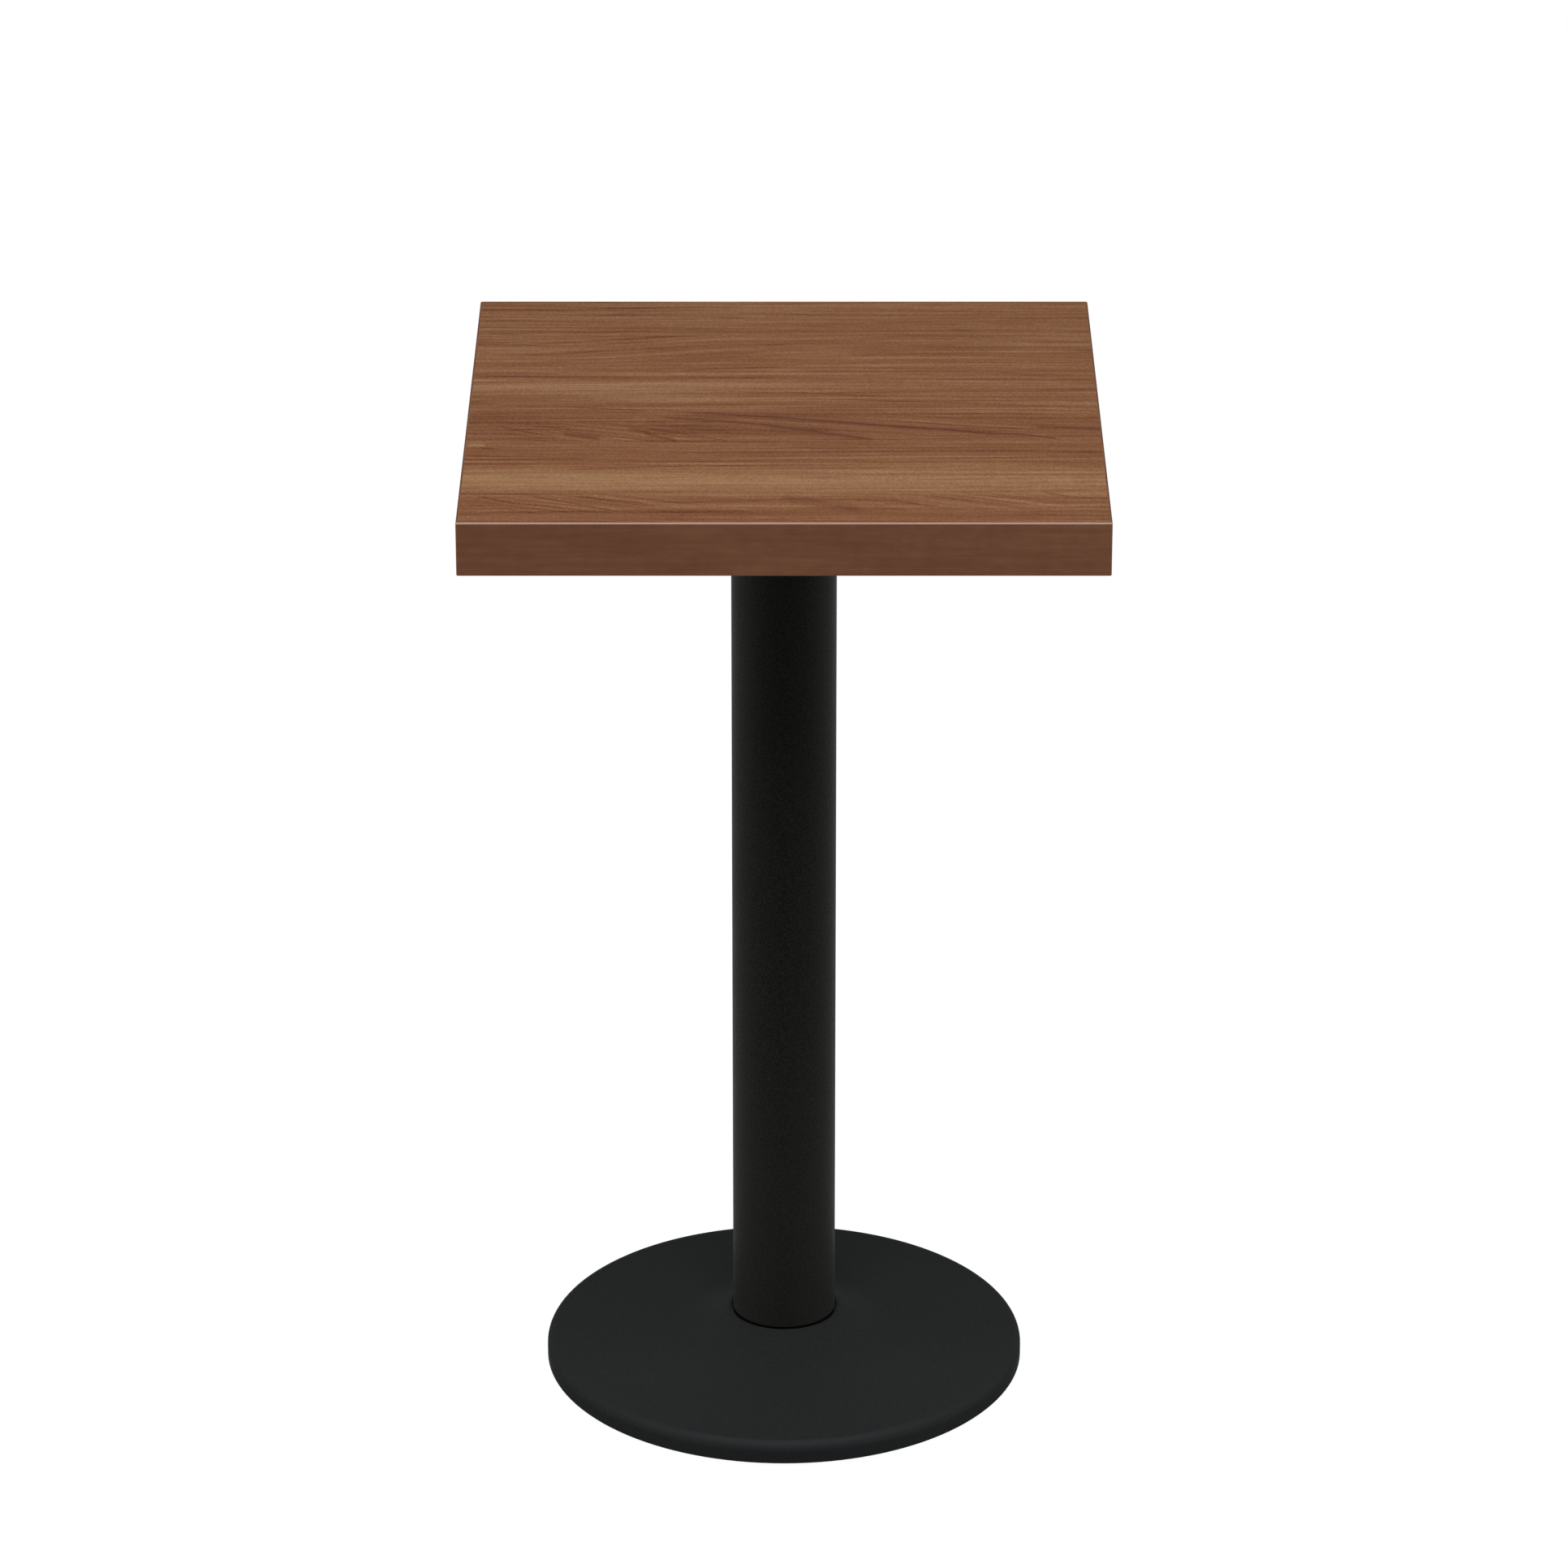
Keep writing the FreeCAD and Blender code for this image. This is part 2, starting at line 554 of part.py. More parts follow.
def glides():
    """Stem and pad of the four levelling feet, on the base's diagonals."""
    corners = dict(zip(DIAGONALS, ("back_right", "back_left", "front_left", "front_right")))
    feet = {}
    for angle, corner in corners.items():
        for name, shape in (("glide_stem", glide_stem()), ("glide_pad", glide_pad())):
            feet[f"{name}_{corner}"] = turn(moved(shape, GLIDE_RADIUS, 0), angle)
    return feet


def build():
    """Every piece of the table, by name."""
    pieces = {
        "laminate_face": laminate_face(),
        "core_panel": core_panel(),
        "backer_sheet": backer_sheet(),
        "spider_plate": spider_plate(),
        "spider_screws": spider_screws(),
        "column_tube": column_tube(),
        "tie_rod": tie_rod(),
        "base_casting": base_casting(),
    }
    for group in (buildup_strips(), edge_bands(), rod_fasteners(), glides()):
        pieces.update(group)
    return pieces


os.makedirs("parts", exist_ok=True)
for node, solid in build().items():
    solid.exportStep(f"parts/{node}.step")
    print(f"{node}: {len(solid.Solids)} solids, valid {solid.isValid()}, {solid.Volume / 1000:.2f} cm3")
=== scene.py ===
"""Bar table: finishes, threaded hardware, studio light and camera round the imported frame.

Metres. The floor is at Z 0 and the column stands on the Z axis. The grain of the top runs along X,
and the front edge faces -Y.
"""

from __future__ import annotations

import contextlib
import logging
import math
from dataclasses import dataclass
from enum import Enum
from typing import Any, Iterator, Mapping, Sequence, Union

import bmesh
import bpy
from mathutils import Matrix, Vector


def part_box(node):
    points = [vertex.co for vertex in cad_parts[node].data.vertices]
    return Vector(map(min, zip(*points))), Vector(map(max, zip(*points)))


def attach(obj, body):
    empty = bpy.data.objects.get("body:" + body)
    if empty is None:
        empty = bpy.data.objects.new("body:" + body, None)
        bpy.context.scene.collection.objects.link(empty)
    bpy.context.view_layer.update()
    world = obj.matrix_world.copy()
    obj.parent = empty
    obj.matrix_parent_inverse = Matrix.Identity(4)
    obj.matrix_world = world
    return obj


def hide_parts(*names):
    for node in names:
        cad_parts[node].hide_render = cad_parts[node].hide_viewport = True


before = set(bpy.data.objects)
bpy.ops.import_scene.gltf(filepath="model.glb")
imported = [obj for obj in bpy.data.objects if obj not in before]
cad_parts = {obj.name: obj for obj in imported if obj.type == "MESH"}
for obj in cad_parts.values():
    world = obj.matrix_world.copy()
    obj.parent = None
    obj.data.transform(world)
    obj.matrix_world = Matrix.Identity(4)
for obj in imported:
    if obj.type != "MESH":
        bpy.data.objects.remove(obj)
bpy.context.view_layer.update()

LOG = logging.getLogger("bar_table")
TABLE_BODY = "table"
MM = 0.001

Colour = tuple[float, float, float, float]
Point = tuple[float, float]
Place = tuple[float, float, float]
Stops = Sequence[tuple[float, Colour]]
Operand = Union["Field", float]


def srgb(red: float, green: float, blue: float) -> Colour:
    """Linear colour of an sRGB triple from 0 to 255.

    Args:
        red: Red, as seen in a picture.
        green: Green, as seen in a picture.
        blue: Blue, as seen in a picture.
    Returns:
        The colour in linear light, opaque.
    """
    shares = [channel / 255 for channel in (red, green, blue)]
    linear = [s / 12.92 if s <= 0.04045 else ((s + 0.055) / 1.055) ** 2.4 for s in shares]
    return (linear[0], linear[1], linear[2], 1.0)


# Node trees written as expressions

class Field:
    """A number that varies over a surface; arithmetic on it adds Math nodes."""

    def __init__(self, graph: Graph, socket: bpy.types.NodeSocket) -> None:
        """Wraps one output socket of a graph."""
        self.graph = graph
        self.socket = socket

    def calc(self, operation: str, *operands: Operand) -> Field:
        """Adds one Math node.

        Args:
            operation: The node's operation.
            operands: Its inputs, in order.
        Returns:
            The node's result.
        """
        made = self.graph.node("ShaderNodeMath", {"operation": operation}, dict(enumerate(operands)))
        return Field(self.graph, made.outputs[0])

    def __add__(self, other: Operand) -> Field:
        """Sum."""
        return self.calc("ADD", self, other)

    def __sub__(self, other: Operand) -> Field:
        """Difference."""
        return self.calc("SUBTRACT", self, other)

    def __rsub__(self, other: Operand) -> Field:
        """Difference from a number."""
        return self.calc("SUBTRACT", other, self)

    def __mul__(self, other: Operand) -> Field:
        """Product."""
        return self.calc("MULTIPLY", self, other)

    def __truediv__(self, other: Operand) -> Field:
        """Quotient."""
        return self.calc("DIVIDE", self, other)

    def __pow__(self, other: Operand) -> Field:
        """Power."""
        return self.calc("POWER", self, other)

    __radd__ = __add__
    __rmul__ = __mul__

    def __abs__(self) -> Field:
        """Distance from zero."""
        return self.calc("ABSOLUTE", self)

    def sine(self) -> Field:
        """Sine, of radians."""
        return self.calc("SINE", self)

    def root(self) -> Field:
        """Square root."""
        return self.calc("SQRT", self)

    def ramp_between(self, start: float, end: float) -> Field:
        """Smooth step from 0 at start to 1 at end, which may lie on either side of start.

        Args:
            start: Value where the step begins.
            end: Value where it is complete.
        Returns:
            The step, from 0 to 1.
        """
        sockets = {"Value": self, "From Min": start, "From Max": end}
        made = self.graph.node("ShaderNodeMapRange", {"interpolation_type": "SMOOTHSTEP"}, sockets)
        return Field(self.graph, made.outputs[0])

    def hump(self, centre: float, reach: float) -> Field:
        """1 at a centre, falling smoothly to 0 at a distance from it."""
        return abs(self - centre).ramp_between(reach, 0.0)


class Graph:
    """Node tree of one finish."""

    def __init__(self, tree: bpy.types.NodeTree) -> None:
        """Starts from an empty tree."""
        self.tree = tree
        tree.nodes.clear()

    def node(self, kind: str, settings: Mapping[str, Any] | None = None,
             sockets: Mapping[Any, Any] | None = None) -> bpy.types.Node:
        """Adds one node.

        Args:
            kind: The node's type.
            settings: Its properties, or the stops of its ramp, set before the sockets.
            sockets: Value or link of each input, by name or number.
        Returns:
            The new node.
        """
        made = self.tree.nodes.new(kind)
        for name, value in (settings or {}).items():
            if name == "stops":
                self._set_stops(made.color_ramp, value)
            else:
                setattr(made, name, value)
        for name, value in (sockets or {}).items():
            source = value.socket if isinstance(value, Field) else value
            if isinstance(source, bpy.types.NodeSocket):
                self.tree.links.new(source, made.inputs[name])
            else:
                made.inputs[name].default_value = source
        return made

    @staticmethod
    def _set_stops(ramp: bpy.types.ColorRamp, stops: Stops) -> None:
        """Gives a new ramp its stops.

        Args:
            ramp: The ramp.
            stops: Position and colour of each stop, in rising order.
        """
        while len(ramp.elements) < len(stops):
            ramp.elements.new(1.0)
        for element, (position, colour) in zip(ramp.elements, stops):
            element.position = position
            element.color = colour

    def place(self) -> tuple[Field, Field, Field]:
        """Place of each point of the surface.

        Returns:
            X, Y and Z, in metres.
        """
        coordinates = self.node("ShaderNodeTexCoord")
        parts = self.node("ShaderNodeSeparateXYZ", None, {0: coordinates.outputs["Object"]})
        x, y, z = (Field(self, socket) for socket in parts.outputs)
        return x, y, z

    def join(self, x: Operand, y: Operand, z: Operand) -> bpy.types.NodeSocket:
        """Vector of three numbers."""
        return self.node("ShaderNodeCombineXYZ", None, {0: x, 1: y, 2: z}).outputs[0]

    def noise(self, x: Operand, y: Operand, z: Operand, detail: float = 2.0, rough: float = 0.5) -> Field:
        """Soft noise about 0.

        Args:
            x: First coordinate, in noise cells.
            y: Second coordinate.
            z: Third coordinate, or a number that sets this noise apart from others.
            detail: Octaves added to the first.
            rough: Strength of each octave against the one before.
        Returns:
            The noise, mostly between -0.3 and 0.3.
        """
        sockets = {"Vector": self.join(x, y, z), "Scale": 1.0, "Detail": detail, "Roughness": rough}
        made = self.node("ShaderNodeTexNoise", {"noise_dimensions": "3D"}, sockets)
        return Field(self, made.outputs[0]) - 0.5

    def even_noise(self, place: Sequence[Field], cells: float, detail: float = 2.0,
                   rough: float = 0.5) -> Field:
        """Soft noise about 0 with so many cells to the metre in every direction."""
        x, y, z = (axis * cells for axis in place)
        return self.noise(x, y, z, detail, rough)

    def chips(self, x: Operand, y: Operand, z: Operand) -> Field:
        """Random number for each cell of a cellular pattern.

        Args:
            x: First coordinate, in cells.
            y: Second coordinate.
            z: Third coordinate.
        Returns:
            The number of the cell, from 0 to 1.
        """
        made = self.node("ShaderNodeTexVoronoi", None, {"Vector": self.join(x, y, z), "Scale": 1.0})
        parts = self.node("ShaderNodeSeparateColor", None, {0: made.outputs["Color"]})
        return Field(self, parts.outputs[0])

    def tones(self, value: Field, stops: Stops) -> bpy.types.NodeSocket:
        """Colour of a number from 0 to 1, by stops."""
        return self.node("ShaderNodeValToRGB", {"stops": stops}, {0: value}).outputs[0]

    def blend(self, share: Operand, first: Any, second: Any) -> bpy.types.NodeSocket:
        """First colour where the share is 0, second where it is 1."""
        made = self.node("ShaderNodeMix", {"data_type": "RGBA"}, {0: share, 6: first, 7: second})
        return made.outputs[2]

    def relief(self, height: Field, depth: float) -> bpy.types.NodeSocket:
        """Normal of a surface with fine relief, depth metres between heights 0 and 1."""
        made = self.node("ShaderNodeBump", None, {"Height": height, "Distance": depth, "Strength": 1.0})
        return made.outputs[0]

    def surface(self, sockets: Mapping[str, Any]) -> None:
        """Ends the tree in a principled surface with these inputs."""
        made = self.node("ShaderNodeBsdfPrincipled", None, sockets)
        self.node("ShaderNodeOutputMaterial", None, {"Surface": made.outputs[0]})


# Finishes

class Finish:
    """A surface finish that makes one material."""

    name: str

    def material(self) -> bpy.types.Material:
        """Makes the finish.

        Returns:
            The finish as a material.
        """
        made = bpy.data.materials.new(self.name)
        made.use_nodes = True
        self.paint(Graph(made.node_tree))
        return made

    def paint(self, graph: Graph) -> None:
        """Builds the finish's nodes in an empty tree."""
        raise NotImplementedError


class Axis(Enum):
    """Direction that a printed grain runs in."""

    X = "x"
    Y = "y"


@dataclass(frozen=True)
class Strands:
    """Noise drawn out along the grain, in cells to the metre, and the weight that it is used with."""

    along: float
    across: float
    seed: float
    weight: float
    octaves: float = 0.0
    rough: float = 0.5

    def noise(self, graph: Graph, run: Field, across: Field, seed: float = 0.0) -> Field:
        """The noise itself, set apart by a further number where the strands are used again."""
        return graph.noise(run * self.along, across * self.across, seed + self.seed, self.octaves, self.rough)

    def weighted(self, graph: Graph, run: Field, across: Field) -> Field:
        """The noise at its weight."""
        return self.noise(graph, run, across) * self.weight


@dataclass(frozen=True)
class ToneBand:
    """Broad band of lighter or darker wood along the top, fading off to its back and its front."""

    centre: float
    back: float
    front: float
    lift: float
    fade: tuple[float, float] | None = None


@dataclass(frozen=True)
class Slant:
    """Grain that runs at a slope within some patches, each a centre and a reach."""

    slope: float
    patches: tuple[tuple[Point, Point], ...]

    def share(self, x: Field, y: Field) -> Field:
        """1 in the middle of each patch, 0 outside them."""
        humps = [x.hump(centre[0], reach[0]) * y.hump(centre[1], reach[1]) for centre, reach in self.patches]
        return sum(humps[1:], humps[0])


@dataclass(frozen=True)
class GrainLine:
    """One dark line of the figure, from start to end; a pale one has a depth below 0."""

    start: Point
    end: Point
    width: float = 2.4 * MM
    depth: float = 0.2
    redness: float = 0.0


@dataclass(frozen=True)
class WalnutLaminate(Finish):
    """Satin walnut decor: broad bands, slanting figure, growth lines, fibres and pores."""

    name: str = "walnut_laminate"
    middle_tone: float = 0.50
    rough: float = 0.56
    rough_relief: float = 0.12
    relief: float = 0.05 * MM
    gloss: float = 0.05
    stops: Stops = (
        (0.0, srgb(88, 44, 20)),
        (0.25, srgb(111, 67, 35)),
        (0.5, srgb(125, 81, 49)),
        (0.75, srgb(140, 100, 67)),
        (1.0, srgb(155, 117, 81)),
    )
    heart_red: Colour = srgb(90, 42, 18)
    most_red: float = 0.75
    # sideways drift of the grain, in metres
    wobble: Strands = Strands(14.0, 24.0, 4.1, 0.0022, 1.0)
    drift: Strands = Strands(1.8, 7.0, 1.7, 0.010, 2.0)
    # layers of the tone, from broad to fine
    clouds: Strands = Strands(4.0, 14.0, 8.3, 0.18, 2.0)
    growth: Strands = Strands(2.2, 72.0, 2.9, 0.78, 2.0, 0.65)
    rings: Strands = Strands(1.5, 46.0, 9.4, 0.22, 1.0)
    ring_width: float = 0.020
    threads: Strands = Strands(5.0, 190.0, 6.2, 0.56)
    dashes: Strands = Strands(15.0, 280.0, 7.7, 0.39)
    pore_range: Point = (0.10, 0.22)
    pore_weight: float = 0.14
    dust: Strands = Strands(400.0, 330.0, 3.3, 0.62, 1.0)
    flush: Strands = Strands(6.0, 30.0, 5.5, 0.06, 2.0)
    flush_range: Point = (0.08, 0.30)
    bands: tuple[ToneBand, ...] = (
        ToneBand(0.068, 0.010, 0.060, 0.21, (0.26, -0.22)),
        ToneBand(-0.060, 0.080, 0.080, -0.13),
        ToneBand(-0.201, 0.074, 0.034, 0.31),
        ToneBand(-0.285, 0.055, 0.055, -0.12),
    )
    slants: tuple[Slant, ...] = (
        Slant(-0.17, (((0.070, -0.046), (0.300, 0.052)),)),
        Slant(-0.31, (((-0.170, -0.068), (0.150, 0.042)), ((-0.180, -0.250), (0.150, 0.036)),
                      ((0.170, -0.246), (0.160, 0.036)))),
        Slant(0.15, (((-0.110, 0.160), (0.220, 0.075)),)),
    )
    slant_seed: float = 20.0
    slant_gain: float = 1.6
    # stretch of finer grain, and the stretch of even lines behind it
    calm_centre: float = -0.200
    calm_reach: float = 0.045
    calm_share: float = 0.4
    comb_centre: float = -0.130
    comb_reach: float = 0.046
    comb_pitch: float = 10.2 * MM
    comb_slope: float = 0.029
    comb_weight: float = 0.19
    comb_edge: float = 0.1
    line_fade: float = 0.16
    lines: tuple[GrainLine, ...] = (
        # main reddish streak, from its faint start to its end on the right, and two broad shades round it
        GrainLine((-0.126, -0.005), (0.001, -0.029), 2.6 * MM, 0.30, 0.25),
        GrainLine((-0.018, -0.025), (0.089, -0.046), 2.2 * MM, 0.70, 0.45),
        GrainLine((0.073, -0.044), (0.165, -0.061), 2.4 * MM, 1.10, 0.60),
        GrainLine((0.152, -0.0582), (0.186, -0.0695), 2.4 * MM, 1.00, 0.60),
        GrainLine((0.177, -0.0674), (0.201, -0.0716), 2.3 * MM, 0.95, 0.55),
        GrainLine((0.191, -0.0708), (0.222, -0.0701), 2.2 * MM, 0.90, 0.50),
        GrainLine((0.213, -0.0698), (0.235, -0.0736), 2.2 * MM, 0.85, 0.50),
        GrainLine((0.226, -0.0716), (0.258, -0.0830), 2.2 * MM, 0.85, 0.50),
        GrainLine((-0.049, -0.021), (0.256, -0.084), 12.0 * MM, 0.08, 0.15),
        GrainLine((-0.095, -0.010), (0.016, -0.025), 9.0 * MM, 0.12, 0.15),
        # second streak, in front of it, and its shade
        GrainLine((-0.122, -0.024), (-0.003, -0.049), 2.1 * MM, 0.41, 0.30),
        GrainLine((-0.018, -0.046), (0.088, -0.087), 2.2 * MM, 0.90, 0.50),
        GrainLine((-0.026, -0.045), (0.088, -0.088), 9.0 * MM, 0.10, 0.25),
        # dashes on the left
        GrainLine((-0.133, -0.056), (-0.049, -0.090), 2.6 * MM, 0.32, 0.20),
        GrainLine((-0.133, -0.068), (-0.098, -0.091), 6.0 * MM, 0.26, 0.42),
        GrainLine((-0.148, -0.056), (-0.125, -0.067), 8.0 * MM, 0.15, 0.30),
        GrainLine((-0.210, -0.069), (-0.171, -0.084), 9.0 * MM, 0.24, 0.40),
        GrainLine((-0.225, -0.051), (-0.198, -0.062), 6.0 * MM, 0.14),
        GrainLine((-0.275, -0.047), (-0.209, -0.084), 2.6 * MM, 0.24),
        # lines along the dark band and the front pale band
        GrainLine((-0.303, -0.001), (-0.210, -0.007), 2.1 * MM, 0.27),
        GrainLine((-0.210, 0.002), (-0.126, -0.009), 2.2 * MM, 0.35, 0.10),
        GrainLine((-0.299, -0.129), (-0.216, -0.132), 2.2 * MM, 0.38),
        GrainLine((-0.276, -0.140), (-0.170, -0.133), 2.1 * MM, 0.27),
        GrainLine((-0.207, -0.164), (-0.079, -0.154), 2.2 * MM, 0.35),
        GrainLine((-0.094, -0.154), (0.171, -0.150), 2.2 * MM, 0.32),
        # front strip
        GrainLine((-0.284, -0.231), (-0.243, -0.253), 2.9 * MM, 0.44),
        GrainLine((-0.251, -0.249), (-0.198, -0.264), 2.9 * MM, 0.32),
        GrainLine((-0.236, -0.231), (-0.153, -0.270), 3.1 * MM, 0.41),
        GrainLine((-0.196, -0.232), (-0.123, -0.251), 3.1 * MM, 0.48),
        GrainLine((-0.131, -0.249), (-0.003, -0.243), 2.9 * MM, 0.27),
        GrainLine((-0.007, -0.235), (0.076, -0.268), 17.0 * MM, 0.13, 0.30),
        GrainLine((0.016, -0.235), (0.042, -0.251), 5.0 * MM, 0.15),
        GrainLine((0.083, -0.235), (0.128, -0.254), 2.9 * MM, 0.18),
        GrainLine((0.132, -0.229), (0.177, -0.247), 2.9 * MM, 0.18),
        GrainLine((0.238, -0.222), (0.264, -0.234), 4.2 * MM, 0.42),
        GrainLine((0.260, -0.233), (0.304, -0.241), 3.2 * MM, 0.28),
        # back half
        GrainLine((-0.007, 0.103), (0.291, 0.095), 2.2 * MM, 0.38, 0.10),
        GrainLine((-0.301, 0.085), (-0.135, 0.082), 4.5 * MM, 0.30),
        GrainLine((-0.104, 0.102), (0.005, 0.112), 2.6 * MM, 0.27),
        GrainLine((-0.088, 0.048), (-0.003, 0.041), 2.1 * MM, 0.22),
        GrainLine((-0.011, 0.044), (0.105, 0.028), 2.1 * MM, 0.30),
        GrainLine((-0.011, 0.028), (0.293, 0.001), 2.1 * MM, 0.32),
        # pale stretch and reddish patch behind the right half of the main streak
        GrainLine((0.060, -0.003), (0.306, -0.012), 8.0 * MM, -0.14),
        GrainLine((0.232, -0.050), (0.310, -0.060), 12.0 * MM, 0.10, 0.30),
        # small knot at the left edge, pale with a dark rim, then a pale fleck and the pale front corner
        GrainLine((-0.297, -0.099), (-0.279, -0.102), 8.0 * MM, -0.25),
        GrainLine((-0.286, -0.107), (-0.271, -0.111), 3.4 * MM, 0.34),
        GrainLine((0.243, -0.189), (0.269, -0.189), 16.0 * MM, -0.12),
        GrainLine((0.090, -0.262), (0.304, -0.258), 24.0 * MM, -0.14),
    )

    def line_mask(self, x: Field, y: Field, line: GrainLine) -> Field:
        """Mask of one line of the figure.

        Args:
            x: Place along the grain.
            y: Place across the grain.
            line: The line.
        Returns:
            1 on the line, fading to 0 at its width and towards its ends.
        """
        run = line.end[0] - line.start[0]
        rise = line.end[1] - line.start[1]
        share = x.calc("MULTIPLY_ADD", x, 1 / run, -line.start[0] / run)
        course = share.calc("MULTIPLY_ADD", share, rise, line.start[1])
        across = abs(y - course).ramp_between(line.width, 0.0)
        ends = (share.ramp_between(0.0, self.line_fade), share.ramp_between(1.0, 1.0 - self.line_fade))
        return across * ends[0] * ends[1]

    def fibre(self, graph: Graph, x: Field, across: Field, seed: float) -> tuple[Field, Field]:
        """Growth lines, threads and pores of straight grain.

        Args:
            graph: The finish's node tree.
            x: Place along the grain.
            across: Place across the grain.
            seed: Number that sets this stretch of grain apart from others.
        Returns:
            What the fibres add to the tone, and their relief.
        """
        growth = self.growth.noise(graph, x, across, seed)
        threads = self.threads.noise(graph, x, across, seed)
        dashes = self.dashes.noise(graph, x, across, seed)
        rings = abs(self.rings.noise(graph, x, across, seed)).ramp_between(self.ring_width, 0.0)
        pores = dashes.ramp_between(*self.pore_range)
        tone = growth * self.growth.weight + threads * self.threads.weight + dashes * self.dashes.weight
        tone = tone - rings * self.rings.weight - pores * self.pore_weight
        return tone, threads + dashes - pores

    def figured(self, graph: Graph, x: Field, y: Field, across: Field) -> tuple[Field, Field]:
        """Fibres of the whole top, straight but for the slanting patches.

        Args:
            graph: The finish's node tree.
            x: Place along the grain.
            y: Place across the top.
            across: Place across the grain, which drifts.
        Returns:
            What the fibres add to the tone, and their relief.
        """
        fibres, height = self.fibre(graph, x, across, 0.0)
        for number, slant in enumerate(self.slants, 1):
            share = slant.share(x, y)
            leaning = self.fibre(graph, x, across - x * slant.slope, self.slant_seed * number)
            gain = 1.0 + share * (1.0 - share) * self.slant_gain
            fibres = (fibres + (leaning[0] - fibres) * share) * gain
            height = (height + (leaning[1] - height) * share) * gain
        return fibres, height

    def combed(self, x: Field, across: Field, drifted: Field) -> Field:
        """Stretch of even dark lines.

        Args:
            x: Place along the grain.
            across: Place across the grain, with its wobble.
            drifted: Place across the grain, without it.
        Returns:
            1 on each line, 0 between them and outside the stretch.
        """
        phase = (across - x * self.comb_slope - self.comb_centre) * (math.tau / self.comb_pitch)
        peaks = (phase + math.pi / 2).sine().ramp_between(self.comb_edge, 1.0)
        return peaks * drifted.hump(self.comb_centre, self.comb_reach)

    def paint(self, graph: Graph) -> None:
        """Builds the decor from broad bands down to pores and single lines.

        Args:
            graph: The finish's node tree.
        """
        x, y, _ = graph.place()
        wobble = self.wobble.weighted(graph, x, y)
        drifted = y + self.drift.weighted(graph, x, y)
        across = drifted + wobble

        tone = self.clouds.weighted(graph, x, y) + self.middle_tone
        for band in self.bands:
            fade = x.ramp_between(*band.fade) if band.fade else 1.0
            backwards = drifted.ramp_between(band.centre + band.back, band.centre)
            forwards = drifted.ramp_between(band.centre - band.front, band.centre)
            tone = tone + backwards * forwards * band.lift * fade
        fibres, height = self.figured(graph, x, y, across)
        calm = 1.0 - drifted.hump(self.calm_centre, self.calm_reach) * self.calm_share
        tone = tone + fibres * calm + self.dust.weighted(graph, x, across)
        tone = tone - self.combed(x, across, drifted) * self.comb_weight

        red = self.flush.noise(graph, x, across).ramp_between(*self.flush_range) * self.flush.weight
        for line in self.lines:
            mask = self.line_mask(x, y + wobble, line)
            tone = tone - mask * line.depth
            if line.redness:
                red = red + mask * line.redness
        red = red.calc("MINIMUM", red, self.most_red)
        graph.surface({
            "Base Color": graph.blend(red, graph.tones(tone, self.stops), self.heart_red),
            "Roughness": self.rough - height * self.rough_relief,
            "Normal": graph.relief(height, self.relief),
            "Specular IOR Level": self.gloss,
        })


@dataclass(frozen=True)
class EdgeBanding(Finish):
    """Darker plastic edging with a faint printed grain and a line of painted light along the arris.

    The line's range and the crown above it are shares of the arris's height, from the top down. The line is a
    painted highlight on the front and back bands and painted shade on the side bands.
    """

    name: str
    along: Axis
    top: float
    arris: float
    # colour of the arris line: painted highlight on the front and back bands, painted shade on the side bands
    painted_arris_light: Colour
    arris_range: Point = (0.85, 0.55)
    crown: float = 0.05
    stops: Stops = (
        (0.15, srgb(112, 71, 53)),
        (0.5, srgb(126, 84, 63)),
        (0.85, srgb(140, 99, 74)),
    )
    middle_tone: float = 0.5
    tone_slope: float = 0.25
    cloud: Strands = Strands(9.0, 22.0, 2.0, 0.55, 2.0)
    grain: Strands = Strands(11.0, 210.0, 5.0, 0.50, 3.0, 0.6)
    fibres: Strands = Strands(60.0, 900.0, 3.0, 0.16, 1.0)
    mottle: Strands = Strands(70.0, 110.0, 7.0, 0.35, 2.0)
    rough: float = 0.46
    rough_grain: float = 0.2
    relief: float = 0.04 * MM
    gloss: float = 0.01

    def paint(self, graph: Graph) -> None:
        """Builds the printed grain and the arris.

        Args:
            graph: The finish's node tree.
        """
        x, y, z = graph.place()
        run = x if self.along is Axis.X else y
        grain = self.grain.noise(graph, run, z)
        fibres = self.fibres.noise(graph, run, z)
        tone = self.cloud.weighted(graph, run, z) + grain * self.grain.weight
        tone = tone + fibres * self.fibres.weight + self.mottle.weighted(graph, run, z)
        tone = tone + run * self.tone_slope + self.middle_tone
        # painted light along the arris: the highlight of the front and back bands, the shade of the side
        # bands
        edge = z.ramp_between(*(self.top - share * self.arris for share in self.arris_range))
        crown = z.ramp_between(self.top - self.crown * self.arris, self.top)
        graph.surface({
            "Base Color": graph.blend(edge * (1.0 - crown), graph.tones(tone, self.stops), self.painted_arris_light),
            "Roughness": self.rough + grain * self.rough_grain,
            "Normal": graph.relief(grain + fibres, self.relief),
            "Specular IOR Level": self.gloss,
        })


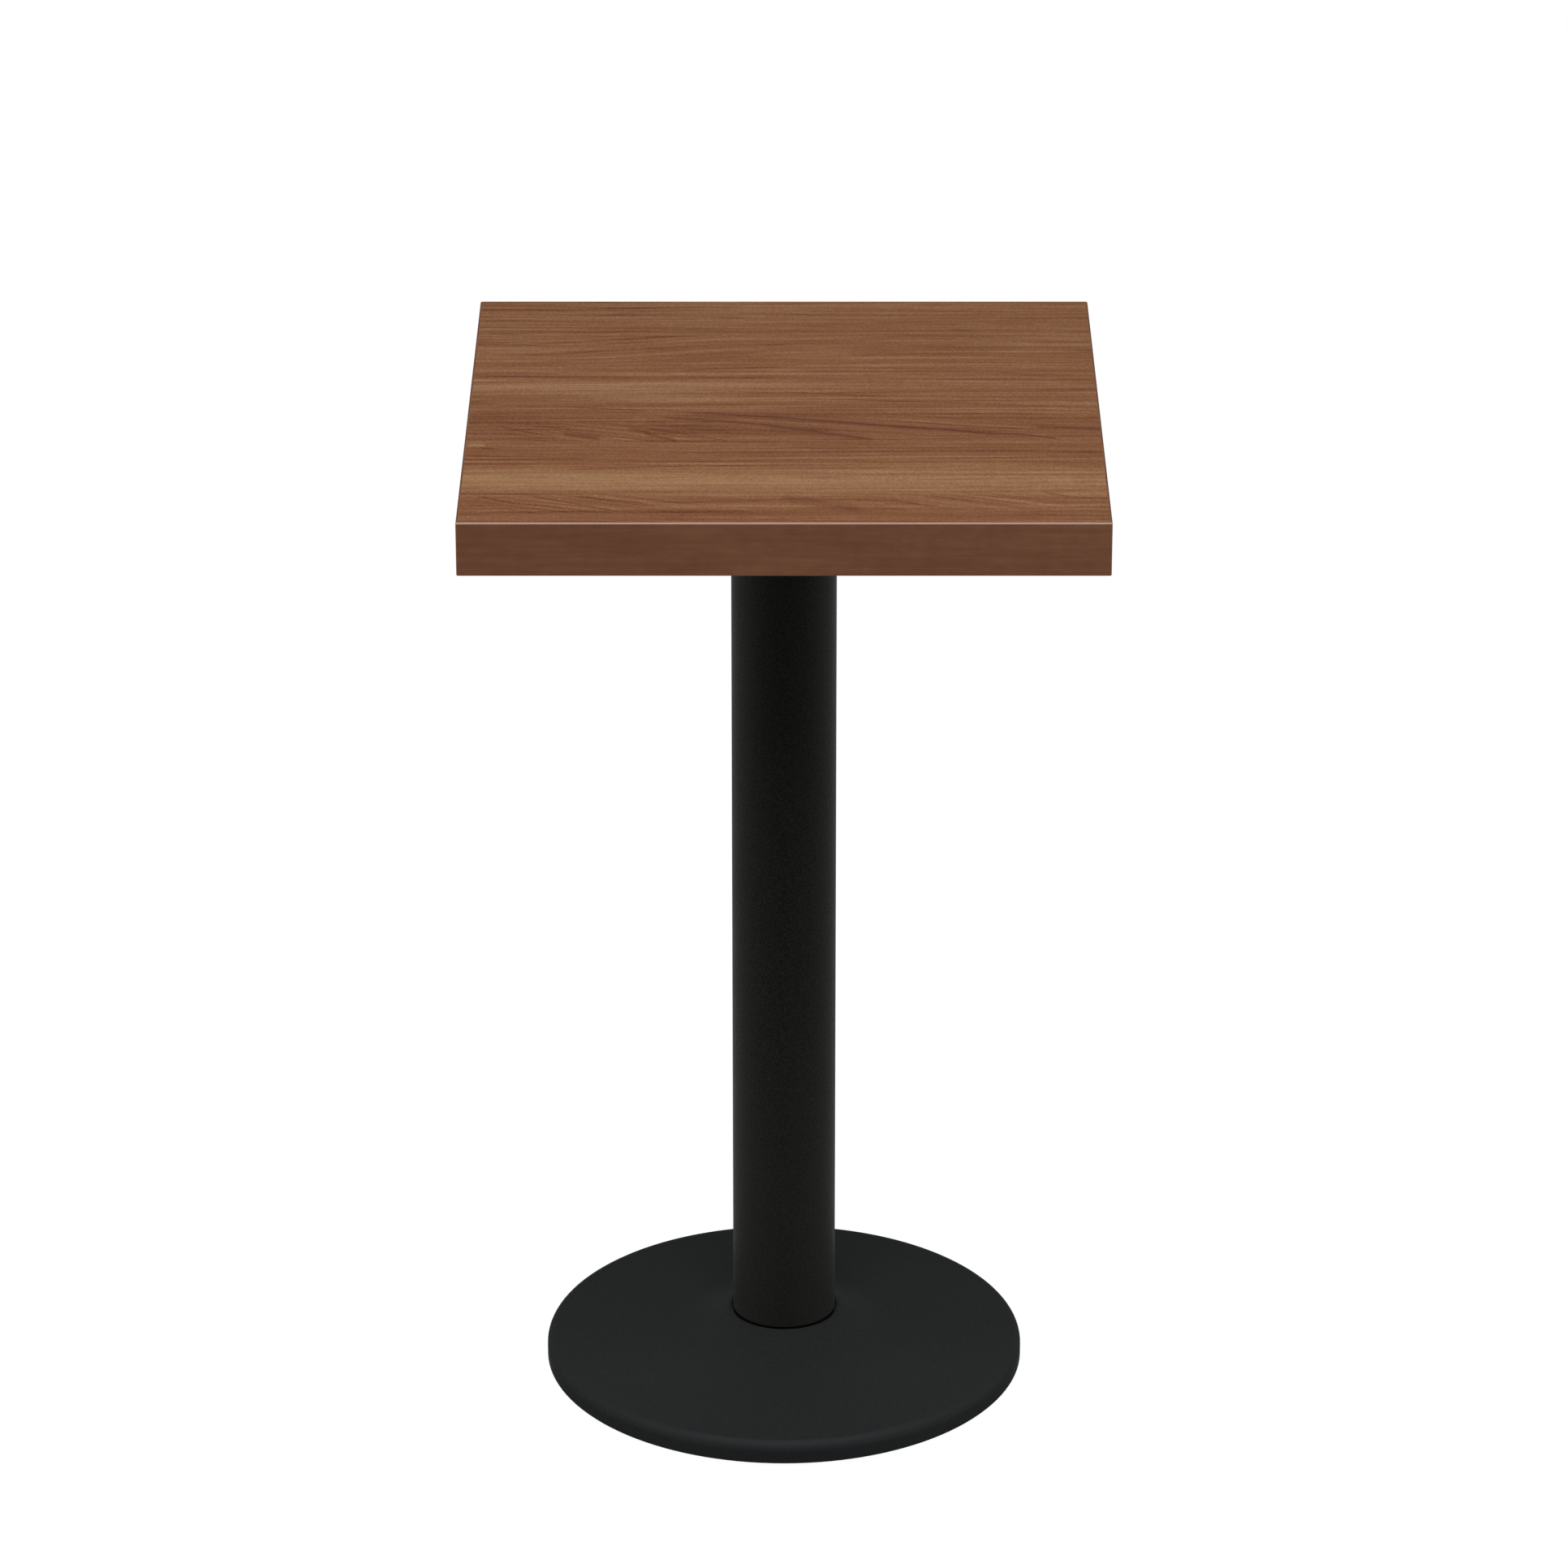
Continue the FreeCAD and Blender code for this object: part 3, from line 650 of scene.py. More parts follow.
@dataclass(frozen=True)
class ParticleBoard(Finish):
    """Raw pressed chips, pale and dark, with resin between them."""

    name: str = "particle_board"
    stops: Stops = (
        (0.0, srgb(104, 78, 50)),
        (0.3, srgb(150, 120, 82)),
        (0.7, srgb(181, 150, 108)),
        (1.0, srgb(206, 180, 140)),
    )
    coarse_cells: Place = (210.0, 330.0, 520.0)
    fine_cells: Place = (900.0, 640.0, 1100.0)
    dust_cells: float = 1500.0
    bend_cells: float = 90.0
    bend: float = 6.0 * MM
    coarse_weight: float = 0.42
    fine_weight: float = 0.38
    dust_weight: float = 0.30
    darkest_tone: float = 0.12
    rough: float = 0.82
    rough_chips: float = 0.10
    relief: float = 0.10 * MM
    gloss: float = 0.2

    def paint(self, graph: Graph) -> None:
        """Builds coarse and fine chips, bent out of their straight cells.

        Args:
            graph: The finish's node tree.
        """
        x, y, z = place = graph.place()
        bend = graph.even_noise(place, self.bend_cells) * self.bend
        long, wide, high = self.coarse_cells
        coarse = graph.chips((x + bend) * long, (y - bend) * wide, (z + bend) * high)
        long, wide, high = self.fine_cells
        fine = graph.chips((x - bend) * long, (y + bend) * wide, z * high)
        dust = graph.even_noise(place, self.dust_cells, 1.0)
        tone = coarse * self.coarse_weight + fine * self.fine_weight + dust * self.dust_weight
        tone = tone + self.darkest_tone
        graph.surface({
            "Base Color": graph.tones(tone, self.stops),
            "Roughness": self.rough + fine * self.rough_chips,
            "Normal": graph.relief(coarse + fine, self.relief),
            "Specular IOR Level": self.gloss,
        })


@dataclass(frozen=True)
class BackerSheet(Finish):
    """Plain dark brown balancing sheet with a pressed linen face."""

    name: str = "backer_sheet"
    dark: Colour = srgb(52, 43, 37)
    light: Colour = srgb(66, 55, 47)
    mottle_cells: float = 26.0
    weave: float = 5200.0
    weave_weight: float = 0.25
    rough: float = 0.62
    rough_mottle: float = 0.25
    relief: float = 0.03 * MM
    gloss: float = 0.3

    def paint(self, graph: Graph) -> None:
        """Builds the mottled colour and the linen press.

        Args:
            graph: The finish's node tree.
        """
        x, y, _ = graph.place()
        mottle = graph.noise(x * self.mottle_cells, y * self.mottle_cells, 1.0, detail=4.0)
        warp = (x * self.weave).sine()
        weft = (y * self.weave).sine()
        graph.surface({
            "Base Color": graph.blend(mottle + 0.5, self.dark, self.light),
            "Roughness": self.rough + mottle * self.rough_mottle,
            "Normal": graph.relief((warp + weft) * self.weave_weight + mottle, self.relief),
            "Specular IOR Level": self.gloss,
        })


@dataclass(frozen=True)
class PowderCoat(Finish):
    """Textured coat on metal, speckled over a grain of fused powder; its values are the spider's."""

    name: str = "spider_coat"
    dark: Colour = srgb(26, 26, 26)
    light: Colour = srgb(36, 36, 36)
    grain: float = 1.8 * MM
    grain_octaves: Point = (2.0, 0.55)
    relief: float = 0.16 * MM
    rough: float = 0.55
    rough_drift: float = 0.12
    rough_grain: float = 0.2
    gloss: float = 0.2
    speckle_share: float = 0.6
    speckle_contrast: float = 2.6
    drift_cells: float = 9.0

    def paint(self, graph: Graph) -> None:
        """Builds the grain, the speckle and a slow drift of gloss.

        Args:
            graph: The finish's node tree.
        """
        place = graph.place()
        cells = 1.0 / self.grain
        grain = graph.even_noise(place, cells, *self.grain_octaves)
        speckle = graph.even_noise(place, cells * self.speckle_share, 1.0)
        drift = graph.even_noise(place, self.drift_cells)
        colour = graph.blend(speckle * self.speckle_contrast + 0.5, self.dark, self.light)
        graph.surface({
            "Base Color": self.with_painted_light(graph, place, colour),
            "Roughness": drift * self.rough_drift + grain * self.rough_grain + self.rough,
            "Normal": graph.relief(grain, self.relief),
            "Specular IOR Level": self.gloss,
        })

    def with_painted_light(self, graph: Graph, place: tuple[Field, Field, Field],
             colour: bpy.types.NodeSocket) -> bpy.types.NodeSocket:
        """Colour with painted light and shade, of which a plain coat has none.

        Args:
            graph: The finish's node tree.
            place: X, Y and Z of the surface.
            colour: Colour of the coat itself.
        Returns:
            Colour with the painted light and shade.
        """
        return colour


@dataclass(frozen=True, kw_only=True)
class ColumnCoat(PowderCoat):
    """Coat of the column, painted lighter towards its foot where the top's shadow on it thins out, with
    painted shade at the joint where the tube goes into the base.
    """

    joint: float
    name: str = "column_coat"
    dark: Colour = (0.0058, 0.0065, 0.0054, 1.0)
    light: Colour = (0.0190, 0.0199, 0.0178, 1.0)
    grain: float = 1.1 * MM
    relief: float = 0.30 * MM
    gloss: float = 0.036
    # painted shade at the joint: its height above the joint, the share of that height that is full, and its
    # colour
    joint_shade_width: float = 2.4 * MM
    joint_shade_edge: float = 0.6
    joint_shade: Colour = (0.0006, 0.0006, 0.0006, 1.0)
    # painted light on the lower column: how far up it reaches and how strong it is
    foot_light_reach: float = 460.0 * MM
    foot_light_share: float = 0.40
    # lighter colour of the lower column, painted light
    dust: Colour = (0.0300, 0.0312, 0.0275, 1.0)

    def with_painted_light(self, graph: Graph, place: tuple[Field, Field, Field],
             colour: bpy.types.NodeSocket) -> bpy.types.NodeSocket:
        """Colour with the painted light on the foot and the painted shade of the joint round it.

        Args:
            graph: The finish's node tree.
            place: X, Y and Z of the surface.
            colour: Colour of the coat itself.
        Returns:
            Colour with the painted light and shade.
        """
        height = place[2] - self.joint
        # painted light: lighter towards the foot, where the top's shadow on the column thins out
        foot_lit = height.ramp_between(self.foot_light_reach, 0.0) * self.foot_light_share
        # painted shade: near black just above the joint, where shade falls round the tube's foot
        line = height.ramp_between(self.joint_shade_width, self.joint_shade_edge * self.joint_shade_width)
        return graph.blend(line, graph.blend(foot_lit, colour, self.dust), self.joint_shade)


@dataclass(frozen=True, kw_only=True)
class BaseCoat(PowderCoat):
    """Coat of the base, with painted highlights at the front and the back of its rim and of its lip."""

    rim: float
    lip: float
    name: str = "base_coat"
    dark: Colour = (0.0212, 0.0226, 0.0230, 1.0)
    light: Colour = (0.0271, 0.0287, 0.0291, 1.0)
    grain: float = 1.0 * MM
    relief: float = 0.05 * MM
    gloss: float = 0.002
    # painted highlights: their reach about the rim's shoulder and the lip, how fast they fade to the sides,
    # and their colours
    rim_reach: float = 7.0 * MM
    lip_reach: float = 1.6 * MM
    fading: float = 5.0
    rim_highlight: Colour = (0.0350, 0.0372, 0.0388, 1.0)
    lip_highlight: Colour = (0.0700, 0.0720, 0.0750, 1.0)

    def with_painted_light(self, graph: Graph, place: tuple[Field, Field, Field],
             colour: bpy.types.NodeSocket) -> bpy.types.NodeSocket:
        """Colour with the two rings of painted highlight.

        Args:
            graph: The finish's node tree.
            place: X, Y and Z of the surface.
            colour: Colour of the coat itself.
        Returns:
            Colour with the painted highlights.
        """
        x, y, _ = place
        radius = (x * x + y * y).root()
        # the painted highlights are strongest at the front and the back and fade towards the sides
        facing = abs(y / radius) ** self.fading
        rim = radius.hump(self.rim, self.rim_reach) * facing
        lip = radius.hump(self.lip, self.lip_reach) * facing
        return graph.blend(lip, graph.blend(rim, colour, self.rim_highlight), self.lip_highlight)


@dataclass(frozen=True)
class ZincPlate(Finish):
    """Zinc-plated steel: clouded grey metal with fine rolling marks."""

    name: str = "zinc_steel"
    dark: Colour = srgb(158, 158, 154)
    light: Colour = srgb(198, 199, 196)
    cloud_cells: float = 220.0
    mark_cells: Place = (1300.0, 1300.0, 2600.0)
    rough: float = 0.36
    rough_cloud: float = 0.25
    rough_marks: float = 0.2
    relief: float = 0.01 * MM

    def paint(self, graph: Graph) -> None:
        """Builds the clouded plating.

        Args:
            graph: The finish's node tree.
        """
        place = graph.place()
        cloud = graph.even_noise(place, self.cloud_cells, detail=3.0)
        marks = graph.noise(*(axis * cells for axis, cells in zip(place, self.mark_cells)))
        graph.surface({
            "Base Color": graph.blend(cloud + 0.5, self.dark, self.light),
            "Metallic": 1.0,
            "Roughness": self.rough + cloud * self.rough_cloud + marks * self.rough_marks,
            "Normal": graph.relief(marks, self.relief),
        })


@dataclass(frozen=True)
class MouldedNylon(Finish):
    """Black moulded nylon, a little clouded."""

    name: str = "nylon"
    dark: Colour = srgb(30, 30, 31)
    light: Colour = srgb(44, 44, 45)
    cloud_cells: float = 140.0
    grain_cells: float = 2600.0
    rough: float = 0.5
    rough_cloud: float = 0.2
    relief: float = 0.02 * MM
    gloss: float = 0.35

    def paint(self, graph: Graph) -> None:
        """Builds the clouding and a fine spark-eroded grain.

        Args:
            graph: The finish's node tree.
        """
        place = graph.place()
        cloud = graph.even_noise(place, self.cloud_cells)
        grain = graph.even_noise(place, self.grain_cells, 1.0)
        graph.surface({
            "Base Color": graph.blend(cloud + 0.5, self.dark, self.light),
            "Roughness": self.rough + cloud * self.rough_cloud,
            "Normal": graph.relief(grain, self.relief),
            "Specular IOR Level": self.gloss,
        })


# Modelling steps

class Boolean(Enum):
    """What one solid does to another."""

    JOIN = "UNION"
    CUT = "DIFFERENCE"
    TRIM = "INTERSECT"


def pick(obj: bpy.types.Object) -> bpy.types.Object:
    """Makes one object the only selected and active one.

    Args:
        obj: The object.
    Returns:
        The same object.
    """
    bpy.ops.object.select_all(action="DESELECT")
    obj.select_set(True)
    bpy.context.view_layer.objects.active = obj
    return obj


@contextlib.contextmanager
def editing(obj: bpy.types.Object) -> Iterator[None]:
    """Edit mode on one object, with all of it selected.

    Args:
        obj: The object.
    Returns:
        Nothing of use; the mode lasts as long as the with block.
    """
    pick(obj)
    bpy.ops.object.mode_set(mode="EDIT")
    bpy.ops.mesh.select_all(action="SELECT")
    yield
    bpy.ops.object.mode_set(mode="OBJECT")


def traced(name: str, outline: Sequence[Point]) -> bpy.types.Object:
    """Open outline in the XZ plane, drawn by extruding one point along it.

    Args:
        name: Name of the object.
        outline: Radius and height of each point.
    Returns:
        The outline as edges.
    """
    bpy.ops.object.select_all(action="DESELECT")
    bpy.ops.mesh.primitive_plane_add(size=MM)
    obj = bpy.context.object
    obj.name = name
    with editing(obj):
        bpy.ops.mesh.merge(type="CENTER")
        bpy.ops.transform.translate(value=(outline[0][0], 0.0, outline[0][1]))
        for (r0, z0), (r1, z1) in zip(outline, outline[1:]):
            bpy.ops.mesh.extrude_region_move(TRANSFORM_OT_translate={"value": (r1 - r0, 0.0, z1 - z0)})
    return obj


def tidy_shell(obj: bpy.types.Object) -> bpy.types.Object:
    """Merges doubled points and turns all faces outwards.

    Args:
        obj: The shell.
    Returns:
        The same shell.
    """
    with editing(obj):
        bpy.ops.mesh.remove_doubles(threshold=0.001 * MM)
        bpy.ops.mesh.select_all(action="SELECT")
        bpy.ops.mesh.normals_make_consistent(inside=False)
    return obj


def turned(name: str, outline: Sequence[Point], steps: int = 48) -> bpy.types.Object:
    """Closed shape spun about the Z axis from an outline that starts and ends on it.

    Args:
        name: Name of the object.
        outline: Radius and height of each point.
        steps: Faces round the axis.
    Returns:
        The spun shape.
    """
    obj = traced(name, outline)
    with editing(obj):
        bpy.ops.mesh.spin(steps=steps, angle=math.tau, center=(0, 0, 0), axis=(0, 0, 1))
    return tidy_shell(obj)


def arc(centre: Point, radius: float, start: float, end: float, steps: int = 6) -> list[Point]:
    """Points of an arc between two angles in degrees."""
    angles = [math.radians(start + (end - start) * i / steps) for i in range(steps + 1)]
    return [(centre[0] + radius * math.cos(a), centre[1] + radius * math.sin(a)) for a in angles]


def apply_modifier(obj: bpy.types.Object, kind: str, **settings: Any) -> None:
    """Adds a modifier and applies it.

    Args:
        obj: The object that it works on.
        kind: The modifier's type.
        settings: Its properties.
    """
    pick(obj)
    modifier = obj.modifiers.new(kind.lower(), kind)
    for name, value in settings.items():
        setattr(modifier, name, value)
    bpy.ops.object.modifier_apply(modifier=modifier.name)


def combine(obj: bpy.types.Object, tool: bpy.types.Object, operation: Boolean) -> bpy.types.Object:
    """Joins, cuts or trims one solid by another, which is used up.

    Args:
        obj: The solid that stays.
        tool: The other solid.
        operation: What the tool does to it.
    Returns:
        The solid that stays.
    """
    apply_modifier(obj, "BOOLEAN", operation=operation.value, object=tool, solver="EXACT")
    bpy.data.objects.remove(tool)
    return obj


def cut_square(obj: bpy.types.Object, height: float, keep_above: bool) -> None:
    """Cuts a shape square to the Z axis at a height and closes it there."""
    with editing(obj):
        bpy.ops.mesh.bisect(plane_co=(0, 0, height), plane_no=(0, 0, 1), use_fill=True,
                            clear_inner=keep_above, clear_outer=not keep_above, threshold=1e-4 * MM)


def shifted(obj: bpy.types.Object, x: float, y: float, angle: float = 0.0) -> bpy.types.Object:
    """Turns a shape about the Z axis and moves it sideways, in its mesh.

    Args:
        obj: The shape.
        x: Distance along X.
        y: Distance along Y.
        angle: Turn, in radians.
    Returns:
        The same shape.
    """
    with editing(obj):
        if angle:
            bpy.ops.transform.rotate(value=angle, orient_axis="Z", center_override=(0, 0, 0))
        bpy.ops.transform.translate(value=(x, y, 0.0))
    return obj


def copied(obj: bpy.types.Object, name: str) -> bpy.types.Object:
    """Copy of a piece with its own mesh.

    Args:
        obj: The piece.
        name: Name of the copy.
    Returns:
        The copy.
    """
    copy = obj.copy()
    copy.data = obj.data.copy()
    copy.name = name
    bpy.context.scene.collection.objects.link(copy)
    return copy


def smooth_shaded(obj: bpy.types.Object, angle: float = 32.0) -> bpy.types.Object:
    """Shades a piece smooth up to an angle between faces.

    Args:
        obj: The piece.
        angle: The angle, in degrees.
    Returns:
        The same piece.
    """
    pick(obj)
    bpy.ops.object.shade_smooth_by_angle(angle=math.radians(angle))
    return obj


def dress_node(node: str, material: bpy.types.Material) -> None:
    """Gives a piece that keeps its shape its finish.

    Args:
        node: Name of the piece.
        material: Its finish.
    """
    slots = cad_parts[node].data.materials
    slots.clear()
    slots.append(material)
    LOG.info("%s keeps its shape, finish %s", node, material.name)


def finished(obj: bpy.types.Object, material: bpy.types.Material, body: str,
             node: str) -> bpy.types.Object:
    """Dresses a modelled piece and sets it in place of a node.

    Args:
        obj: The piece.
        material: Its finish.
        body: Body that it moves with.
        node: Node that it stands for.
    Returns:
        The piece.
    """
    obj.data.materials.clear()
    obj.data.materials.append(material)
    smooth_shaded(obj)
    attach(obj, body)
    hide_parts(node)
    LOG.info("%s stands for %s on %s", obj.name, node, body)
    return obj


@dataclass(frozen=True)
class Thread:
    """Screw thread with flat crests and roots."""

    radius: float
    pitch: float
    depth: float
    steps: int = 28

    def rod(self, name: str, low: float, high: float, chamfer: float) -> bpy.types.Object:
        """Threaded rod on the Z axis, cut square at both ends and chamfered at the upper one.

        Args:
            name: Name of the object.
            low: Height of the lower end.
            high: Height of the upper end.
            chamfer: Size of the chamfer.
        Returns:
            The rod as a closed shape.
        """
        p = self.pitch
        root = self.radius - self.depth
        wide = self.radius * 1.2
        start = low - 1.6 * p
        spare_turns = 4
        crest = p / 8
        valley = p / 4
        heights = (0.0, valley / 2, (p - crest) / 2, (p + crest) / 2, p - valley / 2, p)
        radii = (root, root, self.radius, self.radius, root, root)
        obj = traced(name, [(r, start + h) for r, h in zip(radii, heights)])
        turns = math.ceil((high - low) / p) + spare_turns
        apply_modifier(obj, "SCREW", axis="Z", steps=self.steps, render_steps=self.steps,
                       iterations=turns, screw_offset=p)
        tidy_shell(obj)
        nudge = 0.003 * p
        cut_square(obj, low + nudge, keep_above=True)
        cut_square(obj, high - nudge, keep_above=False)
        tidy_shell(obj)
        shoulder = high - 1.2 * chamfer - 0.2 * self.radius
        envelope = turned("envelope", [(0.0, low - p), (wide, low - p), (wide, shoulder),
                                       (self.radius - chamfer, high), (0.0, high)])
        return combine(obj, envelope, Boolean.TRIM)


# Sub-assemblies

@dataclass
class TableTop:
    """Laminated top: decor, core, balancing sheet, build-up strips and edging."""

    arris: float = 1.7 * MM
    # painted highlight for the arris of the front and back bands, painted shade for that of the side bands
    arris_highlight: Colour = srgb(182, 156, 141)
    arris_shade: Colour = srgb(98, 64, 45)
    sides: tuple[tuple[str, Axis], ...] = (
        ("front", Axis.X), ("back", Axis.X), ("left", Axis.Y), ("right", Axis.Y),
    )

    def dress(self) -> None:
        """Gives every layer its finish."""
        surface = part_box("laminate_face")[1].z
        board = ParticleBoard().material()
        dress_node("laminate_face", WalnutLaminate().material())
        dress_node("backer_sheet", BackerSheet().material())
        dress_node("core_panel", board)
        for side, along in self.sides:
            # front and back bands get the painted highlight on their arris, the side bands the painted shade
            painted_arris_light = self.arris_highlight if along is Axis.X else self.arris_shade
            banding = EdgeBanding(f"edge_band_{side}", along, surface, self.arris, painted_arris_light)
            dress_node(f"edge_band_{side}", banding.material())
            dress_node(f"buildup_strip_{side}", board)


@dataclass
class Spider:
    """Four-arm plate under the top, with its wood screws."""

    reach: float = 160.0 * MM
    spacing: float = 36.0 * MM
    head_radius: float = 4.8 * MM
    head_height: float = 3.2 * MM
    head_rim: float = 0.9 * MM
    recess_length: float = 4.6 * MM
    recess_width: float = 1.05 * MM
    recess_depth: float = 2.1 * MM
    recess_taper: Place = (0.45, 0.55, 1.0)
    dome_steps: int = 8
    dome_fullness: float = 0.8
    point_length: float = 5.0 * MM
    plain_shank: float = 1.0 * MM
    thread_chamfer: float = 0.3 * MM
    turn_step: float = 137.5
    thread: Thread = Thread(2.4 * MM, 1.9 * MM, 0.65 * MM, 16)
    arms: tuple[float, ...] = (45.0, 135.0, 225.0, 315.0)

    def recess_arm(self, low: float, angle: float) -> bpy.types.Object:
        """Tapered blade that cuts one slot of a cross recess.

        Args:
            low: Height of the head's lowest point.
            angle: Turn of the slot, in radians.
        Returns:
            The blade.
        """
        bpy.ops.object.select_all(action="DESELECT")
        bpy.ops.mesh.primitive_cube_add(size=1.0, location=(0, 0, 0))
        blade = bpy.context.object
        with editing(blade):
            bpy.ops.transform.resize(value=(self.recess_length, self.recess_width, 2 * self.recess_depth))
            shape = bmesh.from_edit_mesh(blade.data)
            for face in shape.faces:
                face.select_set(face.normal.z > 0.9)
            bmesh.update_edit_mesh(blade.data)
            bpy.ops.transform.resize(value=self.recess_taper)
            bpy.ops.mesh.select_all(action="SELECT")
            bpy.ops.transform.translate(value=(0, 0, low))
        return shifted(blade, 0.0, 0.0, angle)

    def screw(self, low: float, high: float) -> bpy.types.Object:
        """One cross-recess pan-head wood screw on the Z axis, head down.

        Args:
            low: Height of the head's lowest point.
            high: Height of the screw's tip.
        Returns:
            The screw.
        """
        seat = low + self.head_height
        dome = self.head_height - self.head_rim
        outline = [(0.0, low)]
        for step in range(1, self.dome_steps + 1):
            angle = math.radians(90.0 * step / self.dome_steps)
            radius = self.head_radius * math.sin(angle) ** self.dome_fullness
            outline.append((radius, low + dome * (1 - math.cos(angle))))
        shank = self.thread.radius - self.thread.depth
        outline += [(self.head_radius, seat), (shank, seat), (shank, high - self.point_length), (0.0, high)]
        screw = turned("spider_screw", outline, 32)
        for angle in (0.0, math.pi / 2):
            screw = combine(screw, self.recess_arm(low, angle), Boolean.CUT)
        bite = self.thread.rod("bite", seat + self.plain_shank, high - self.point_length, self.thread_chamfer)
        return combine(screw, bite, Boolean.JOIN)

    def build(self, zinc: bpy.types.Material) -> list[bpy.types.Object]:
        """Models one screw and drives a copy of it through each hole.

        Args:
            zinc: The screws' finish.
        Returns:
            The eight screws.
        """
        low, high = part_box("spider_screws")
        master = self.screw(low.z, high.z)
        screws = []
        for arm in self.arms:
            for side in (-1, 1):
                number = len(screws) + 1
                turn = math.radians(arm)
                across = side * self.spacing / 2
                x = self.reach * math.cos(turn) - across * math.sin(turn)
                y = self.reach * math.sin(turn) + across * math.cos(turn)
                screw = copied(master, f"spider_screw_{number}")
                shifted(screw, x, y, math.radians(self.turn_step * number))
                screws.append(finished(screw, zinc, TABLE_BODY, "spider_screws"))
        bpy.data.objects.remove(master)
        return screws

    def dress(self) -> None:
        """Coats the plate."""
        dress_node("spider_plate", PowderCoat().material())


@dataclass
class Pedestal:
    """Column on its cast base, with the distances that place its joint's painted shade and its rings of
    painted highlight.

    The joint lies above the tube's lower end, the lip's ring outside the tube, the rim's ring inside the rim.
    """

    lip_land: float = 3.0 * MM
    lip_shoulder: float = 1.6 * MM
    rim_shoulder: float = 5.5 * MM

    def dress(self) -> None:
        """Coats the column and the base."""
        foot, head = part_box("column_tube")
        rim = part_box("base_casting")[1].x - self.rim_shoulder
        lip = head.x + self.lip_shoulder
        dress_node("column_tube", ColumnCoat(joint=foot.z + self.lip_land).material())
        dress_node("base_casting", BaseCoat(rim=rim, lip=lip).material())


@dataclass
class TieRod:
    """Rod with rolled threads at both ends, and its nuts and washers."""

    thread: Thread = Thread(5.98 * MM, 1.75 * MM, 1.07 * MM)
    shank_radius: float = 5.42 * MM
    lower_thread: float = 46.0 * MM
    upper_thread: float = 34.0 * MM
    chamfer: float = 1.0 * MM
    fasteners: tuple[str, ...] = ("washer", "lock_washer", "nut")

    def build(self, zinc: bpy.types.Material) -> bpy.types.Object:
        """Models the rod from two threaded ends and a plain shank.

        Args:
            zinc: The rod's finish.
        Returns:
            The rod.
        """
        low, high = (corner.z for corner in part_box("tie_rod"))
        shank_low = low + self.lower_thread
        shank_high = high - self.upper_thread
        rod = turned("tie_rod_threaded", [(0.0, shank_low), (self.shank_radius, shank_low),
                                          (self.shank_radius, shank_high), (0.0, shank_high)])
        upper = self.thread.rod("upper_thread", shank_high - self.chamfer, high, self.chamfer)
        lower = self.thread.rod("lower_thread", -shank_low - self.chamfer, -low, self.chamfer)
        with editing(lower):
            bpy.ops.transform.rotate(value=math.pi, orient_axis="X", center_override=(0, 0, 0))
        for end in (upper, lower):
            rod = combine(rod, end, Boolean.JOIN)
        return finished(rod, zinc, TABLE_BODY, "tie_rod")

    def dress(self, zinc: bpy.types.Material) -> None:
        """Plates the nuts and washers.

        Args:
            zinc: Their finish.
        """
        for end in ("upper", "lower"):
            for piece in self.fasteners:
                dress_node(f"{end}_{piece}", zinc)


class Corner(Enum):
    """Place of a levelling foot under the base."""

    FRONT_LEFT = "front_left"
    FRONT_RIGHT = "front_right"
    BACK_LEFT = "back_left"
    BACK_RIGHT = "back_right"


